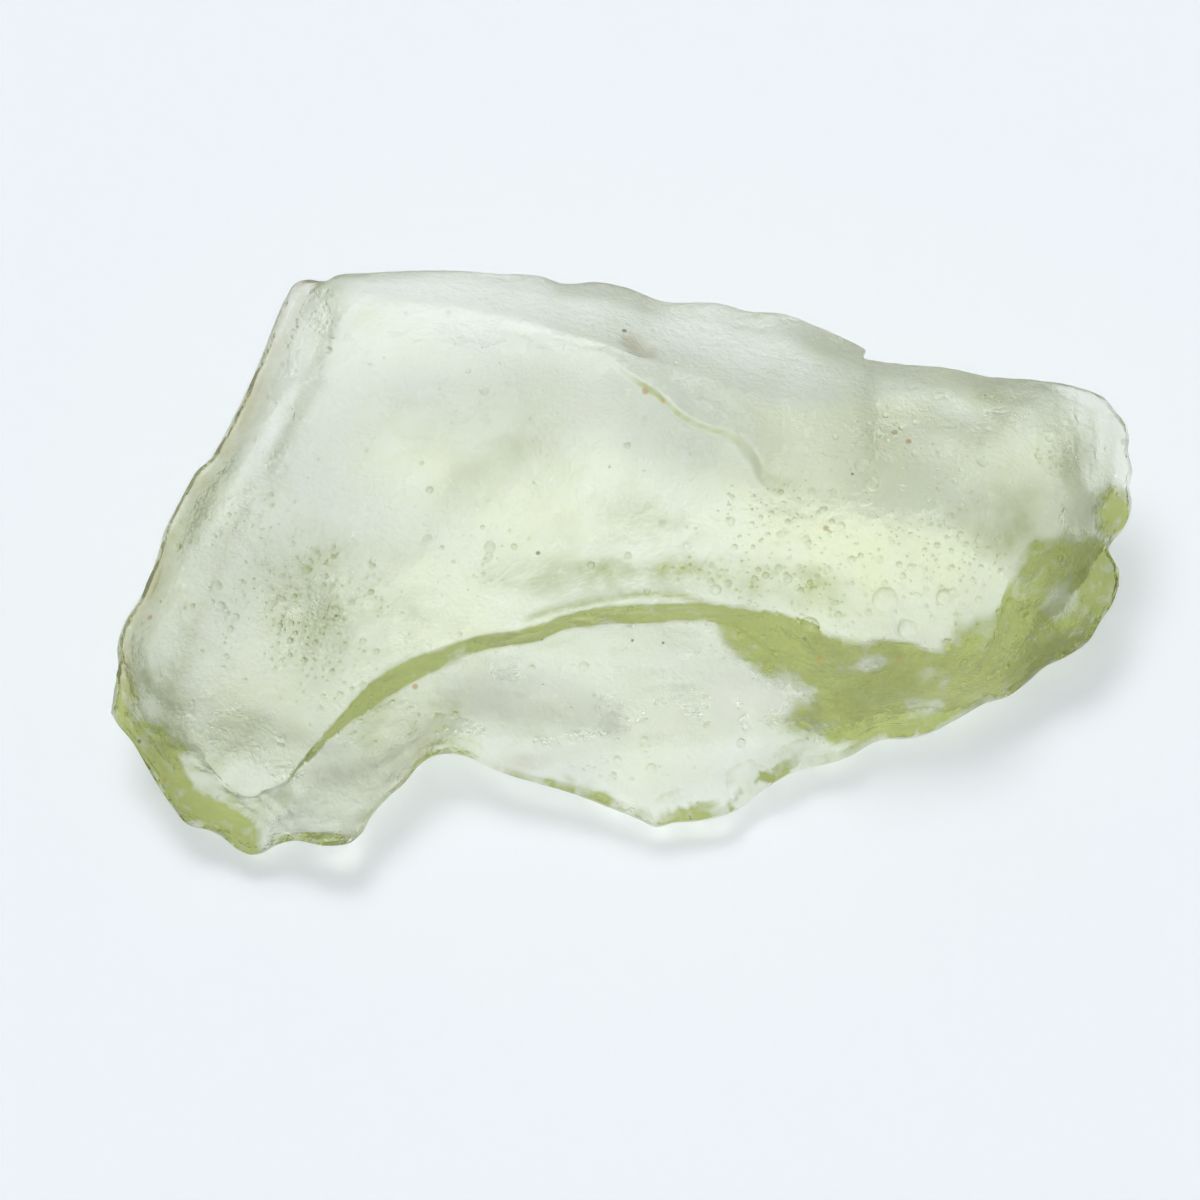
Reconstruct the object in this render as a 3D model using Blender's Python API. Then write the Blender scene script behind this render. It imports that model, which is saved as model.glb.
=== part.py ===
"""Raw desert glass: one naturally broken, sand-worn piece of pale yellow-green glass, 42 mm long.

The piece is a plate with two faces. The top face runs through named lines, front to back: the front
edge, a hollow where a flake came off, the foot and the crest of the ledge left by that flake, a line
over the worn plateau, the foot and the top of a low step across it, a back crest and the back edge.
The underside is a shallow bowl of old flake scars, flat where it rests. Small scars and open bubbles
are cut into the top last.

Blender 4.5, metres, +Z up, front towards -Y.
"""
import bpy
import bmesh
import math
import numpy as np
from mathutils import Vector, noise

# Driving sizes, in metres
LENGTH = 0.0424                # left tip to right end
REST_Z = 0.0                   # height of the flat that the piece rests on
EDGE_THIN = 0.00045            # how thick the broken edge is at the back and sides
EDGE_THICK = 0.0009            # and along the hollow at the front
EDGE_BULGE = 0.00012           # how far the middle of the edge stands out
MM = 0.001

# Every line below was read off a picture taken from the front, VIEW_ELEVATION above the table:
# pixels across, pixels down, and the height above the table in millimetres.
VIEW_ELEVATION = math.radians(62)
LEFT_TIP_PIXEL = 114
RIGHT_END_PIXEL = 1132
MIDDLE_PIXEL = (622, 560)
PIXEL = LENGTH / (RIGHT_END_PIXEL - LEFT_TIP_PIXEL)

# The grid: faces along the piece, and faces across each band between two lines of the top
ALONG = 74
BAND_ROWS = (5, 4, 2, 4, 5, 1, 3, 2)

LEFT_EDGE = (
    (114, 712, 3.2), (117, 690, 3.4), (121, 665, 3.6), (120, 645, 3.7), (128, 620, 3.9),
    (142, 598, 4.1), (152, 575, 4.3), (160, 553, 4.4), (166, 530, 4.5), (177, 508, 4.7),
    (188, 487, 4.8), (198, 470, 4.9), (208, 462, 4.9), (222, 440, 5.1), (240, 405, 5.4),
    (262, 355, 5.7), (275, 320, 5.9), (285, 297, 6.0), (296, 281, 6.1), (306, 279, 6.1),
)
BACK_EDGE = (
    (306, 279, 6.1), (325, 280, 5.9), (331, 276, 5.8), (365, 272, 5.4), (400, 270, 5.3),
    (470, 270, 5.1), (500, 273, 5.1), (540, 275, 5.1), (560, 282, 5.2), (600, 281, 5.2),
    (630, 288, 5.3), (660, 300, 5.4), (725, 304, 5.4), (745, 310, 5.4), (790, 315, 5.4),
    (815, 325, 5.5), (840, 336, 5.6), (858, 345, 5.7), (866, 350, 5.7), (863, 357, 5.8),
    (880, 362, 5.8), (915, 366, 5.9), (950, 369, 6.0), (985, 377, 6.0), (1045, 382, 5.9),
    (1080, 388, 5.7), (1105, 397, 5.5),
)
RIGHT_EDGE = (
    (1118, 585, 3.3), (1118, 570, 3.5), (1112, 558, 3.7), (1108, 548, 3.8), (1113, 540, 3.9),
    (1122, 530, 4.0), (1131, 500, 4.4), (1129, 490, 4.5), (1132, 470, 4.7), (1128, 450, 5.0),
    (1129, 438, 5.1), (1126, 423, 5.2), (1118, 413, 5.3), (1112, 405, 5.4), (1105, 397, 5.5),
)
FRONT_EDGE = (
    (114, 712, 3.2), (120, 722, 3.1), (135, 740, 2.9), (150, 765, 2.6), (165, 790, 2.2),
    (178, 808, 1.9), (190, 822, 1.7), (205, 826, 1.6), (225, 835, 1.4), (240, 847, 1.2),
    (252, 852, 1.1), (260, 851, 1.1), (275, 843, 1.4), (295, 838, 1.8), (330, 843, 2.1),
    (350, 840, 2.1), (362, 830, 2.1), (370, 815, 2.1), (380, 803, 2.2), (405, 780, 2.3),
    (420, 762, 2.4), (435, 753, 2.4), (450, 751, 2.3), (470, 755, 2.2), (490, 765, 2.1),
    (535, 780, 1.8), (560, 786, 1.7), (610, 803, 1.5), (640, 815, 1.4), (655, 822, 1.3),
    (675, 818, 1.3), (700, 816, 1.3), (735, 806, 1.3), (745, 800, 1.3), (760, 788, 1.3),
    (780, 775, 1.3), (800, 765, 1.3), (825, 760, 1.3), (850, 752, 1.3), (880, 736, 1.4),
    (910, 734, 1.4), (930, 729, 1.5), (965, 712, 1.8), (985, 702, 2.0), (1005, 696, 2.1),
    (1025, 682, 2.3), (1045, 665, 2.4), (1065, 655, 2.5), (1085, 643, 2.6), (1100, 620, 2.8),
    (1111, 604, 3.0), (1118, 585, 3.3),
)

# Lines of the top face. Each starts and ends on the left and right edge, at these shares of them.
HOLLOW_ENDS = (0.03, 0.05)
HOLLOW = (
    (150, 750, 3.0), (180, 785, 2.7), (210, 808, 2.4), (245, 825, 2.0), (270, 818, 2.3),
    (310, 805, 2.8), (345, 780, 3.0), (380, 745, 3.3), (415, 722, 3.5), (450, 715, 3.6),
    (550, 708, 3.6), (650, 708, 3.5), (700, 708, 3.3), (750, 712, 3.0), (790, 720, 2.8),
    (825, 725, 2.7), (870, 715, 2.7), (920, 710, 2.6), (965, 697, 2.8), (1000, 682, 3.0),
    (1030, 660, 3.2), (1060, 632, 3.3), (1090, 610, 3.3),
)
LEDGE_FOOT_ENDS = (0.06, 0.10)
LEDGE_FOOT = (
    (150, 735, 3.4), (185, 765, 3.4), (215, 795, 3.0), (245, 808, 2.8), (285, 786, 3.6),
    (300, 769, 3.8), (320, 750, 4.0), (350, 724, 4.2), (380, 703, 4.4), (420, 680, 4.6),
    (450, 665, 4.8), (490, 649, 5.0), (540, 639, 5.1), (570, 628, 5.1), (600, 624, 5.1),
    (650, 624, 5.1), (700, 621, 5.1), (740, 630, 5.0), (770, 652, 4.6), (800, 680, 3.9),
    (840, 690, 3.8), (870, 692, 3.9), (920, 690, 3.7), (965, 683, 3.6), (1000, 665, 3.8),
    (1020, 635, 4.1), (1045, 605, 4.2), (1075, 590, 4.0), (1095, 580, 3.9),
)
LEDGE_CREST_ENDS = (0.10, 0.19)
LEDGE_CREST = (
    (150, 715, 3.9), (195, 740, 4.3), (222, 780, 3.9), (250, 798, 3.6), (285, 780, 4.0),
    (300, 765, 4.3), (320, 742, 4.7), (345, 711, 5.2), (380, 675, 5.7), (410, 658, 6.0),
    (450, 644, 6.2), (490, 635, 6.4), (540, 625, 6.5), (570, 614, 6.6), (600, 608, 6.7),
    (650, 605, 6.8), (700, 604, 6.9), (740, 609, 6.9), (800, 620, 6.9), (840, 638, 6.6),
    (880, 640, 6.3), (930, 648, 5.7), (975, 655, 5.1), (990, 640, 5.2), (997, 615, 5.5),
    (1005, 590, 5.8), (1020, 567, 5.9), (1050, 550, 5.8), (1080, 548, 5.2),
)
PLATEAU_FRONT_ENDS = (0.24, 0.44)
PLATEAU_FRONT = (
    (150, 628, 4.6), (200, 645, 5.0), (280, 650, 5.4), (350, 600, 6.2), (420, 570, 6.7),
    (500, 550, 7.0), (600, 535, 7.3), (700, 530, 7.4), (800, 540, 7.5), (880, 560, 7.2),
    (940, 575, 6.7), (975, 560, 6.6), (1010, 525, 6.6), (1060, 505, 6.2), (1095, 505, 5.5),
)
STEP_FOOT_ENDS = (0.66, 0.65)
STEP_FOOT = (
    (245, 435, 5.8), (300, 400, 6.3), (380, 375, 6.9), (460, 364, 7.2), (530, 362, 7.4),
    (575, 360, 7.45), (597, 357, 7.5), (618, 372, 7.5), (638, 387, 7.5), (663, 404, 7.5),
    (678, 419, 7.5), (698, 429, 7.5), (726, 437, 7.5), (742, 450, 7.55), (752, 463, 7.6),
    (757, 480, 7.7), (775, 497, 7.75), (820, 500, 7.75), (880, 490, 7.6), (960, 480, 7.2),
    (1040, 470, 6.7), (1095, 470, 6.0),
)
STEP_TOP_ENDS = (0.74, 0.73)
STEP_TOP = (
    (262, 400, 6.0), (320, 370, 6.6), (400, 348, 7.1), (480, 344, 7.35), (540, 348, 7.5),
    (575, 350, 7.6), (599, 350, 7.75), (622, 365, 7.9), (642, 380, 7.95), (667, 397, 7.95),
    (682, 412, 7.95), (702, 422, 7.95), (730, 430, 7.95), (748, 443, 7.95), (759, 456, 7.9),
    (766, 470, 7.85), (785, 475, 7.85), (830, 465, 7.85), (890, 452, 7.7), (970, 440, 7.3),
    (1050, 432, 6.75), (1098, 432, 6.1),
)
BACK_CREST_ENDS = (0.96, 0.91)
BACK_CREST = (
    (325, 287, 6.5), (360, 292, 6.8), (400, 298, 7.0), (450, 303, 7.2), (500, 312, 7.3),
    (545, 324, 7.45), (575, 334, 7.55), (605, 342, 7.7), (650, 358, 7.8), (700, 374, 7.8),
    (760, 394, 7.7), (820, 402, 7.6), (870, 398, 7.4), (930, 388, 7.1), (1000, 386, 6.8),
    (1060, 395, 6.3), (1095, 408, 5.9),
)
SHARP_LINES = (2, 3, 5, 6, 7)  # the ledge, the step and the back crest are creases

# Heights of the underside in millimetres, along the piece, at a quarter, half and three quarters
# of the way back. What falls below the table is cut off flat.
UNDER_STATIONS = (0.1, 0.25, 0.5, 0.75, 0.9)
UNDER_FRONT = (1.5, 1.0, 1.2, 0.8, 0.9)
UNDER_MIDDLE = (1.3, -0.45, -0.7, -0.6, 0.3)
UNDER_BACK = (2.4, 0.8, 0.4, 0.0, 1.2)

# Old flake scars on the underside: middle in millimetres, radius and depth in millimetres
UNDER_SCARS = (
    (-15.5, -4.5, 4.6, 0.9), (-12.0, 3.5, 6.2, 1.0), (-4.5, -7.0, 5.2, 0.8), (-6.0, 9.0, 5.6, 0.9),
    (4.5, -8.0, 5.0, 0.9), (3.5, 9.5, 5.4, 1.0), (11.5, -4.5, 4.8, 0.8), (12.5, 6.0, 4.8, 0.9),
    (18.0, 0.5, 4.4, 0.9), (-16.5, -9.5, 3.6, 0.7),
)

# Scars cut into the top and its edge: pixels across and down, radius in pixels, depth in
# millimetres, and the way each faces (or None to follow the surface)
TOP_SCARS = (
    (270, 816, 32, 0.34, (0.1, -0.65, 0.75)), (1096, 512, 36, 0.30, None),
    (676, 806, 24, 0.22, (0.1, -0.60, 0.80)), (744, 786, 24, 0.24, (0.4, -0.50, 0.75)),
    (786, 762, 22, 0.20, (0.4, -0.55, 0.75)),
)

# Open bubbles on the top: pixels across and down, and diameter in pixels
BUBBLES = (
    (885, 600, 28), (942, 597, 18), (809, 627, 20), (908, 625, 20), (946, 642, 13),
    (715, 591, 12), (490, 547, 12), (222, 610, 12), (335, 612, 12), (870, 483, 14),
    (650, 766, 12), (284, 735, 10),
)
BUBBLE_RISE = 0.25             # how far a bubble's middle lies above the surface, in radii


def place(across, down, height_mm):
    """The point at that height that the picture shows at that pixel."""
    height = height_mm * MM
    x = (across - MIDDLE_PIXEL[0]) * PIXEL
    up = (MIDDLE_PIXEL[1] - down) * PIXEL
    y = (up - height * math.cos(VIEW_ELEVATION)) / math.sin(VIEW_ELEVATION)
    return x, y, height


def spline(values, knots, at, corners=()):
    """Values at `at`, on a smooth curve through them that may bend sharply at the corner knots."""
    values = np.asarray(values, float)
    knots = np.asarray(knots, float)
    spans = np.diff(knots)
    shape = (-1,) + (1,) * (values.ndim - 1)
    slopes = np.diff(values, axis=0) / spans.reshape(shape)
    leave = np.concatenate([slopes, slopes[-1:]])
    arrive = np.concatenate([slopes[:1], slopes])
    for k in range(1, len(knots) - 1):
        if k not in corners:
            near, far = spans[k - 1], spans[k]
            leave[k] = arrive[k] = (slopes[k - 1] * far + slopes[k] * near) / (near + far)
    at = np.clip(np.asarray(at, float), knots[0], knots[-1])
    k = np.clip(np.searchsorted(knots, at, side="right") - 1, 0, len(spans) - 1)
    span = spans[k].reshape(shape)
    t = ((at - knots[k]) / spans[k]).reshape(shape)
    t2, t3 = t * t, t * t * t
    return ((2 * t3 - 3 * t2 + 1) * values[k] + (t3 - 2 * t2 + t) * span * leave[k]
            + (3 * t2 - 2 * t3) * values[k + 1] + (t3 - t2) * span * arrive[k + 1])


def evenly(points, count):
    """`count` + 1 places evenly spaced along the smooth curve through the points."""
    points = np.asarray(points, float)
    knots = np.concatenate([[0], np.cumsum(np.linalg.norm(np.diff(points, axis=0), axis=1))])
    dense = spline(points, knots, np.linspace(0, knots[-1], 12 * len(points)))
    run = np.concatenate([[0], np.cumsum(np.linalg.norm(np.diff(dense, axis=0), axis=1))])
    wanted = np.linspace(0, run[-1], count + 1)
    return np.stack([np.interp(wanted, run, dense[:, axis]) for axis in range(3)], axis=1)


def share_along(curve, share):
    """The point at that share, 0 to 1, of an evenly spaced curve."""
    at = np.asarray(share, float) * (len(curve) - 1)
    index = np.arange(len(curve))
    return np.stack([np.interp(at, index, curve[:, axis]) for axis in range(3)], axis=-1)


def edges(along, rows):
    """The four edges of the piece, as evenly spaced points: front and back from left to right,
    left and right from front to back."""
    front, back = (evenly([place(*p) for p in line], along) for line in (FRONT_EDGE, BACK_EDGE))
    left, right = (evenly([place(*p) for p in line], 8 * rows) for line in (LEFT_EDGE, RIGHT_EDGE))
    return front, right, back, left


def band_knots():
    """Where each line of the top lies, as a share of the way from the front edge to the back."""
    return np.concatenate([[0], np.cumsum(BAND_ROWS)]) / sum(BAND_ROWS)


def edge_shares(which):
    """Shares of the left (0) or right (1) edge where the lines of the top meet it."""
    ends = (HOLLOW_ENDS, LEDGE_FOOT_ENDS, LEDGE_CREST_ENDS, PLATEAU_FRONT_ENDS,
            STEP_FOOT_ENDS, STEP_TOP_ENDS, BACK_CREST_ENDS)
    return [0] + [end[which] for end in ends] + [1]


def side_points(edge, which, v):
    """Points of the left or right edge at shares v of the way from front to back."""
    return share_along(edge, np.interp(v, band_knots(), edge_shares(which)))


def edge_height(u, v):
    """Thickness of the broken edge: thicker along the hollow at the front than elsewhere."""
    hollow = np.clip((u - 0.44) / 0.06, 0, 1) * np.clip((0.86 - u) / 0.08, 0, 1)
    return EDGE_THIN + (EDGE_THICK - EDGE_THIN) * hollow * (v < 0.5)


def top_face(along, v):
    """Points of the top face, as an array of rows (v) by columns (along the piece)."""
    front, right, back, left = edges(along, len(v))
    columns = np.linspace(0, 1, along + 1)
    inner = (HOLLOW, LEDGE_FOOT, LEDGE_CREST, PLATEAU_FRONT, STEP_FOOT, STEP_TOP, BACK_CREST)
    lines = [front]
    for line, at_left, at_right in zip(inner, edge_shares(0)[1:], edge_shares(1)[1:]):
        start, end = share_along(left, at_left), share_along(right, at_right)
        lines.append(evenly([start] + [place(*p) for p in line] + [end], along))
    lines = np.array(lines + [back])
    lines[0, :, 2] += edge_height(columns, 0) / 2
    lines[-1, :, 2] += edge_height(columns, 1) / 2
    lines[1:-1, [0, -1], 2] += EDGE_THIN / 2
    points = spline(lines, band_knots(), v, corners=SHARP_LINES)
    fade = np.clip(1 - columns / 0.08, 0, 1)[None, :, None] ** 2
    for which, edge, column, weight in ((0, left, 0, fade), (1, right, -1, fade[:, ::-1])):
        wanted = side_points(edge, which, v)
        wanted[:, 2] += EDGE_THIN / 2
        points = points + (wanted - points[:, column])[:, None] * weight
    return points


def under_face(along, v):
    """Points of the underside, on the same rows and columns."""
    front, right, back, left = edges(along, len(v))
    columns = np.linspace(0, 1, along + 1)
    left, right = side_points(left, 0, v), side_points(right, 1, v)
    for edge, height in ((front, edge_height(columns, 0)), (back, edge_height(columns, 1)),
                         (left, EDGE_THIN), (right, EDGE_THIN)):
        edge[:, 2] -= height / 2
    u, w = columns[None, :, None], np.asarray(v)[:, None, None]
    ends = (front[:1] * (1 - w[:, 0]) + back[:1] * w[:, 0],
            front[-1:] * (1 - w[:, 0]) + back[-1:] * w[:, 0])
    points = (front[None] * (1 - w) + back[None] * w + (left - ends[0])[:, None] * (1 - u)
              + (right - ends[1])[:, None] * u)
    stations = (0,) + UNDER_STATIONS + (1,)
    heights = [front[:, 2]]
    for line, row in ((UNDER_FRONT, 0.25), (UNDER_MIDDLE, 0.5), (UNDER_BACK, 0.75)):
        sides = [np.interp(row, v, side[:, 2]) for side in (left, right)]
        inner = [height * MM for height in line]
        heights.append(spline([sides[0]] + inner + [sides[1]], stations, columns))
    heights = spline(np.array(heights + [back[:, 2]]), (0, 0.25, 0.5, 0.75, 1), v)
    rim = np.minimum(1, 12 * np.minimum(columns, 1 - columns))[None]
    points[..., 2] = points[..., 2] * (1 - rim) + heights * rim
    return points


def add_under_scars(points):
    """Hollows the underside where old flakes came off. Two scars meet in a ridge."""
    hollow = np.zeros(points.shape[:2])
    for x, y, radius, depth in UNDER_SCARS:
        r = np.hypot(points[..., 0] - x * MM, points[..., 1] - y * MM) / (radius * MM)
        hollow = np.maximum(hollow, depth * MM * (1 - r * r))
    rows, columns = hollow.shape
    i, j = np.arange(rows)[:, None] / (rows - 1), np.arange(columns)[None] / (columns - 1)
    inside = np.clip(8 * np.minimum(np.minimum(i, 1 - i), np.minimum(j, 1 - j) * 2), 0, 1)
    points[..., 2] += hollow * inside


def waviness(x, y):
    """Gentle unevenness of a broken glass surface, in metres."""
    broad = noise.noise(Vector((x * 220, y * 220, 3.1)))
    close = noise.noise(Vector((x * 620, y * 620, 8.7)))
    return (0.16 * broad + 0.05 * close) * MM


def add_waviness(points, share):
    """Adds a share of the unevenness, fading to nothing at the edge."""
    rows, columns = points.shape[:2]
    for i in range(1, rows - 1):
        for j in range(1, columns - 1):
            edge = min(i / rows, 1 - i / rows, j / columns * 2, (1 - j / columns) * 2)
            fade = min(1, edge * 8)
            points[i, j, 2] += waviness(points[i, j, 0], points[i, j, 1]) * fade * share


def edge_middle(along, v):
    """The broken edge's middle line, at the border of an array of rows by columns."""
    front, right, back, left = edges(along, len(v))
    points = np.zeros((len(v), along + 1, 3))
    points[:, 0], points[:, -1] = side_points(left, 0, v), side_points(right, 1, v)
    points[0], points[-1] = front, back
    return points


def make_blank(along, rows):
    """A flat plate of grid squares with two faces and a two-row edge. X and Y run from 0 to 1,
    and Z is 0 on the underside, 0.5 at the middle of the edge and 1 on the top."""
    work = bmesh.new()
    bmesh.ops.create_grid(work, x_segments=along, y_segments=rows, size=0.5)
    bmesh.ops.translate(work, verts=work.verts, vec=(0.5, 0.5, 0))
    raised = bmesh.ops.extrude_face_region(work, geom=work.faces[:])["geom"]
    top = [item for item in raised if isinstance(item, bmesh.types.BMVert)]
    bmesh.ops.translate(work, verts=top, vec=(0, 0, 1))
    upright = [edge for edge in work.edges if abs(edge.verts[0].co.z - edge.verts[1].co.z) > 0.5]
    bmesh.ops.subdivide_edges(work, edges=upright, cuts=1)
    bmesh.ops.recalc_face_normals(work, faces=work.faces[:])
    return work


def shape_blank(work, along, rows):
    """Moves the plate's points on to the faces and the edge of the piece."""
    v = np.linspace(0, 1, rows + 1)
    top, under, middle = top_face(along, v), under_face(along, v), edge_middle(along, v)
    add_under_scars(under)
    add_waviness(top, 1.0)
    add_waviness(under, 2.2)
    centre = (middle[0].mean(axis=0) + middle[-1].mean(axis=0)) / 2
    for vert in work.verts:
        i, j = round(vert.co.y * rows), round(vert.co.x * along)
        if vert.co.z > 0.75:
            vert.co = top[i, j]
        elif vert.co.z < 0.25:
            vert.co = under[i, j]
        else:
            out = Vector(middle[i, j] - centre)
            out.z = 0
            vert.co = Vector(middle[i, j]) + out.normalized() * EDGE_BULGE
    return top


def new_object(name, mesh, collection):
    """A linked object with that mesh."""
    item = bpy.data.objects.new(name, mesh)
    collection.objects.link(item)
    return item


def surface_at(top, across, down):
    """The point of the top face that the picture shows at that pixel, and the way it faces."""
    shown_x = top[..., 0] / PIXEL + MIDDLE_PIXEL[0]
    up = top[..., 1] * math.sin(VIEW_ELEVATION) + top[..., 2] * math.cos(VIEW_ELEVATION)
    shown_y = MIDDLE_PIXEL[1] - up / PIXEL
    gap = np.hypot(shown_x - across, shown_y - down)
    i, j = np.unravel_index(np.argmin(gap), gap.shape)
    i, j = min(max(i, 1), top.shape[0] - 2), min(max(j, 1), top.shape[1] - 2)
    along, back = Vector(top[i, j + 1] - top[i, j - 1]), Vector(top[i + 1, j] - top[i - 1, j])
    return Vector(top[i, j]), along.cross(back).normalized()


def ball_cutter(name, balls, collection):
    """One mesh of spheres, each a middle, a radius and a number of subdivisions."""
    work = bmesh.new()
    for middle, radius, fineness in balls:
        made = bmesh.ops.create_icosphere(work, subdivisions=fineness, radius=radius)["verts"]
        bmesh.ops.translate(work, verts=made, vec=middle)
    mesh = bpy.data.meshes.new(name)
    work.to_mesh(mesh)
    work.free()
    return new_object(name, mesh, collection)


def bubble_balls(top):
    """A small sphere for each open bubble, with its middle just above the surface."""
    balls = []
    for across, down, pixels in BUBBLES:
        point, facing = surface_at(top, across, down)
        radius = pixels * PIXEL / 2
        balls.append((point + facing * radius * BUBBLE_RISE, radius, 3 if pixels > 16 else 2))
    return balls


def scar_balls(top):
    """A large sphere for each scar, reaching only its depth into the surface."""
    balls = []
    for across, down, pixels, depth_mm, way in TOP_SCARS:
        point, facing = surface_at(top, across, down)
        if way:
            facing = Vector(way).normalized()
        reach, depth = pixels * PIXEL, depth_mm * MM
        radius = (reach * reach + depth * depth) / (2 * depth)
        balls.append((point + facing * (radius - depth), radius, 3))
    return balls


def table_cutter(collection):
    """A block whose top is the table: what the piece would sink into it is cut off flat."""
    work = bmesh.new()
    bmesh.ops.create_cube(work, size=1)
    bmesh.ops.scale(work, verts=work.verts, vec=(2 * LENGTH, 2 * LENGTH, 0.25 * LENGTH))
    bmesh.ops.translate(work, verts=work.verts, vec=(0, 0, REST_Z - 0.125 * LENGTH))
    mesh = bpy.data.meshes.new("table")
    work.to_mesh(mesh)
    work.free()
    return new_object("table_cutter", mesh, collection)


def cut(target, cutter):
    """A Boolean difference, with the cutter left out of the render."""
    modifier = target.modifiers.new(cutter.name, "BOOLEAN")
    modifier.operation = "DIFFERENCE"
    modifier.solver = "EXACT"
    modifier.use_self = True
    modifier.object = cutter
    cutter.hide_render = True
    cutter.display_type = "WIRE"


def glass_material():
    """Pale yellow-green glass with a sand-worn, satin surface."""
    material = bpy.data.materials.new("desert_glass")
    material.use_nodes = True
    shader = material.node_tree.nodes["Principled BSDF"]
    shader.inputs["Base Color"].default_value = (0.72, 0.78, 0.55, 1)
    shader.inputs["Roughness"].default_value = 0.38
    shader.inputs["Metallic"].default_value = 0.0
    shader.inputs["IOR"].default_value = 1.46
    shader.inputs["Transmission Weight"].default_value = 0.85
    return material


def main():
    for old in list(bpy.data.objects):
        bpy.data.objects.remove(old)
    pieces = bpy.data.collections.new("raw_desert_glass")
    cutters = bpy.data.collections.new("cutters")
    for collection in (pieces, cutters):
        bpy.context.scene.collection.children.link(collection)

    rows = sum(BAND_ROWS)
    work = make_blank(ALONG, rows)
    top = shape_blank(work, ALONG, rows)
    mesh = bpy.data.meshes.new("desert_glass")
    work.to_mesh(mesh)
    work.free()

    low = [min(vert.co[axis] for vert in mesh.vertices) for axis in (0, 1)]
    high = [max(vert.co[axis] for vert in mesh.vertices) for axis in (0, 1)]
    to_centre = Vector((-(low[0] + high[0]) / 2, -(low[1] + high[1]) / 2, 0))
    for vert in mesh.vertices:
        vert.co += to_centre
    mesh.materials.append(glass_material())
    stone = new_object("desert_glass", mesh, pieces)
    for name, balls in (("scar_cutter", scar_balls(top)), ("bubble_cutter", bubble_balls(top))):
        cut(stone, ball_cutter(name, [(middle + to_centre, r, n) for middle, r, n in balls], cutters))
    cut(stone, table_cutter(cutters))
    mesh.shade_smooth()
    mesh.set_sharp_from_angle(angle=math.radians(32))


main()
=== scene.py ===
# %% [markdown]
# # A raw piece of desert glass
# Natural glass that melted once, cooled, broke, and was then worn satin by blown sand. It lies on a
# pale table and is seen from the front, 62 degrees above the table. Everything here is in metres, in
# the frame of the solid part, so nothing has to be fitted.

# %% Start from the solid part
import math

import bmesh
import bpy
import numpy as np
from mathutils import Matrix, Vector, noise
from mathutils.kdtree import KDTree


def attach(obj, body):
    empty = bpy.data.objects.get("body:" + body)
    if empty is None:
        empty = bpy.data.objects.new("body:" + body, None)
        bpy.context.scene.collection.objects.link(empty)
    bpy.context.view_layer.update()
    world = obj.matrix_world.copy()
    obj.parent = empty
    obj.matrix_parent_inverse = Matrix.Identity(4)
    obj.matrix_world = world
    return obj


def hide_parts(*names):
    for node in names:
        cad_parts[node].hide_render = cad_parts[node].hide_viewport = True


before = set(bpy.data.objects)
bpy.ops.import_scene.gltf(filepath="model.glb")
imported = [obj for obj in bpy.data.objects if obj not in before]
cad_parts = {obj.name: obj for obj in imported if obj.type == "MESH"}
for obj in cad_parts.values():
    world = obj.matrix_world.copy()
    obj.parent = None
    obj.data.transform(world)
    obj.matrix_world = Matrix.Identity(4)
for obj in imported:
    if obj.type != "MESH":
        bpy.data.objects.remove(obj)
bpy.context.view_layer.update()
MM = 0.001

# %% [markdown]
# ## Reading the shape from one picture
# A picture gives two numbers for each point, across and down. A third, the height above the table, is
# judged from the light and from what such pieces are like. With those three and the angle of the
# view, each point has one place in space. The whole stone is written as lines of such points.

# %% From pixels to metres
LENGTH = 0.0424                # left tip to right end
VIEW_ELEVATION = math.radians(62)
LEFT_TIP_PIXEL = 114
RIGHT_END_PIXEL = 1132
MIDDLE_PIXEL = (622, 560)
PIXEL = LENGTH / (RIGHT_END_PIXEL - LEFT_TIP_PIXEL)


def place(across, down, height_mm):
    """The point at that height that the picture shows at that pixel."""
    height = height_mm * MM
    x = (across - MIDDLE_PIXEL[0]) * PIXEL
    up = (MIDDLE_PIXEL[1] - down) * PIXEL
    y = (up - height * math.cos(VIEW_ELEVATION)) / math.sin(VIEW_ELEVATION)
    return x, y, height


print("one pixel is", round(PIXEL / MM, 4), "mm")

# %% [markdown]
# ## The outline
# The edge of the shard all the way round, as four runs of points: pixels across, pixels down, and
# height in millimetres. The edge floats a little above the table, because only the belly touches it.

# %% The four edges
LEFT_EDGE = (
    (114, 712, 3.2), (117, 690, 3.4), (121, 665, 3.6), (120, 645, 3.7), (128, 620, 3.9),
    (142, 598, 4.1), (152, 575, 4.3), (160, 553, 4.4), (166, 530, 4.5), (177, 508, 4.7),
    (188, 487, 4.8), (198, 470, 4.9), (208, 462, 4.9), (222, 440, 5.1), (240, 405, 5.4),
    (262, 355, 5.7), (275, 320, 5.9), (285, 297, 6.0), (296, 281, 6.1), (306, 279, 6.1),
)
BACK_EDGE = (
    (306, 279, 6.1), (325, 280, 5.9), (331, 276, 5.8), (365, 272, 5.4), (400, 270, 5.3),
    (470, 270, 5.1), (500, 273, 5.1), (540, 275, 5.1), (560, 282, 5.2), (600, 281, 5.2),
    (630, 288, 5.3), (660, 300, 5.4), (725, 304, 5.4), (745, 310, 5.4), (790, 315, 5.4),
    (815, 325, 5.5), (840, 336, 5.6), (858, 345, 5.7), (866, 350, 5.7), (863, 357, 5.8),
    (880, 362, 5.8), (915, 366, 5.9), (950, 369, 6.0), (985, 377, 6.0), (1045, 382, 5.9),
    (1080, 388, 5.7), (1105, 397, 5.5),
)
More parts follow.
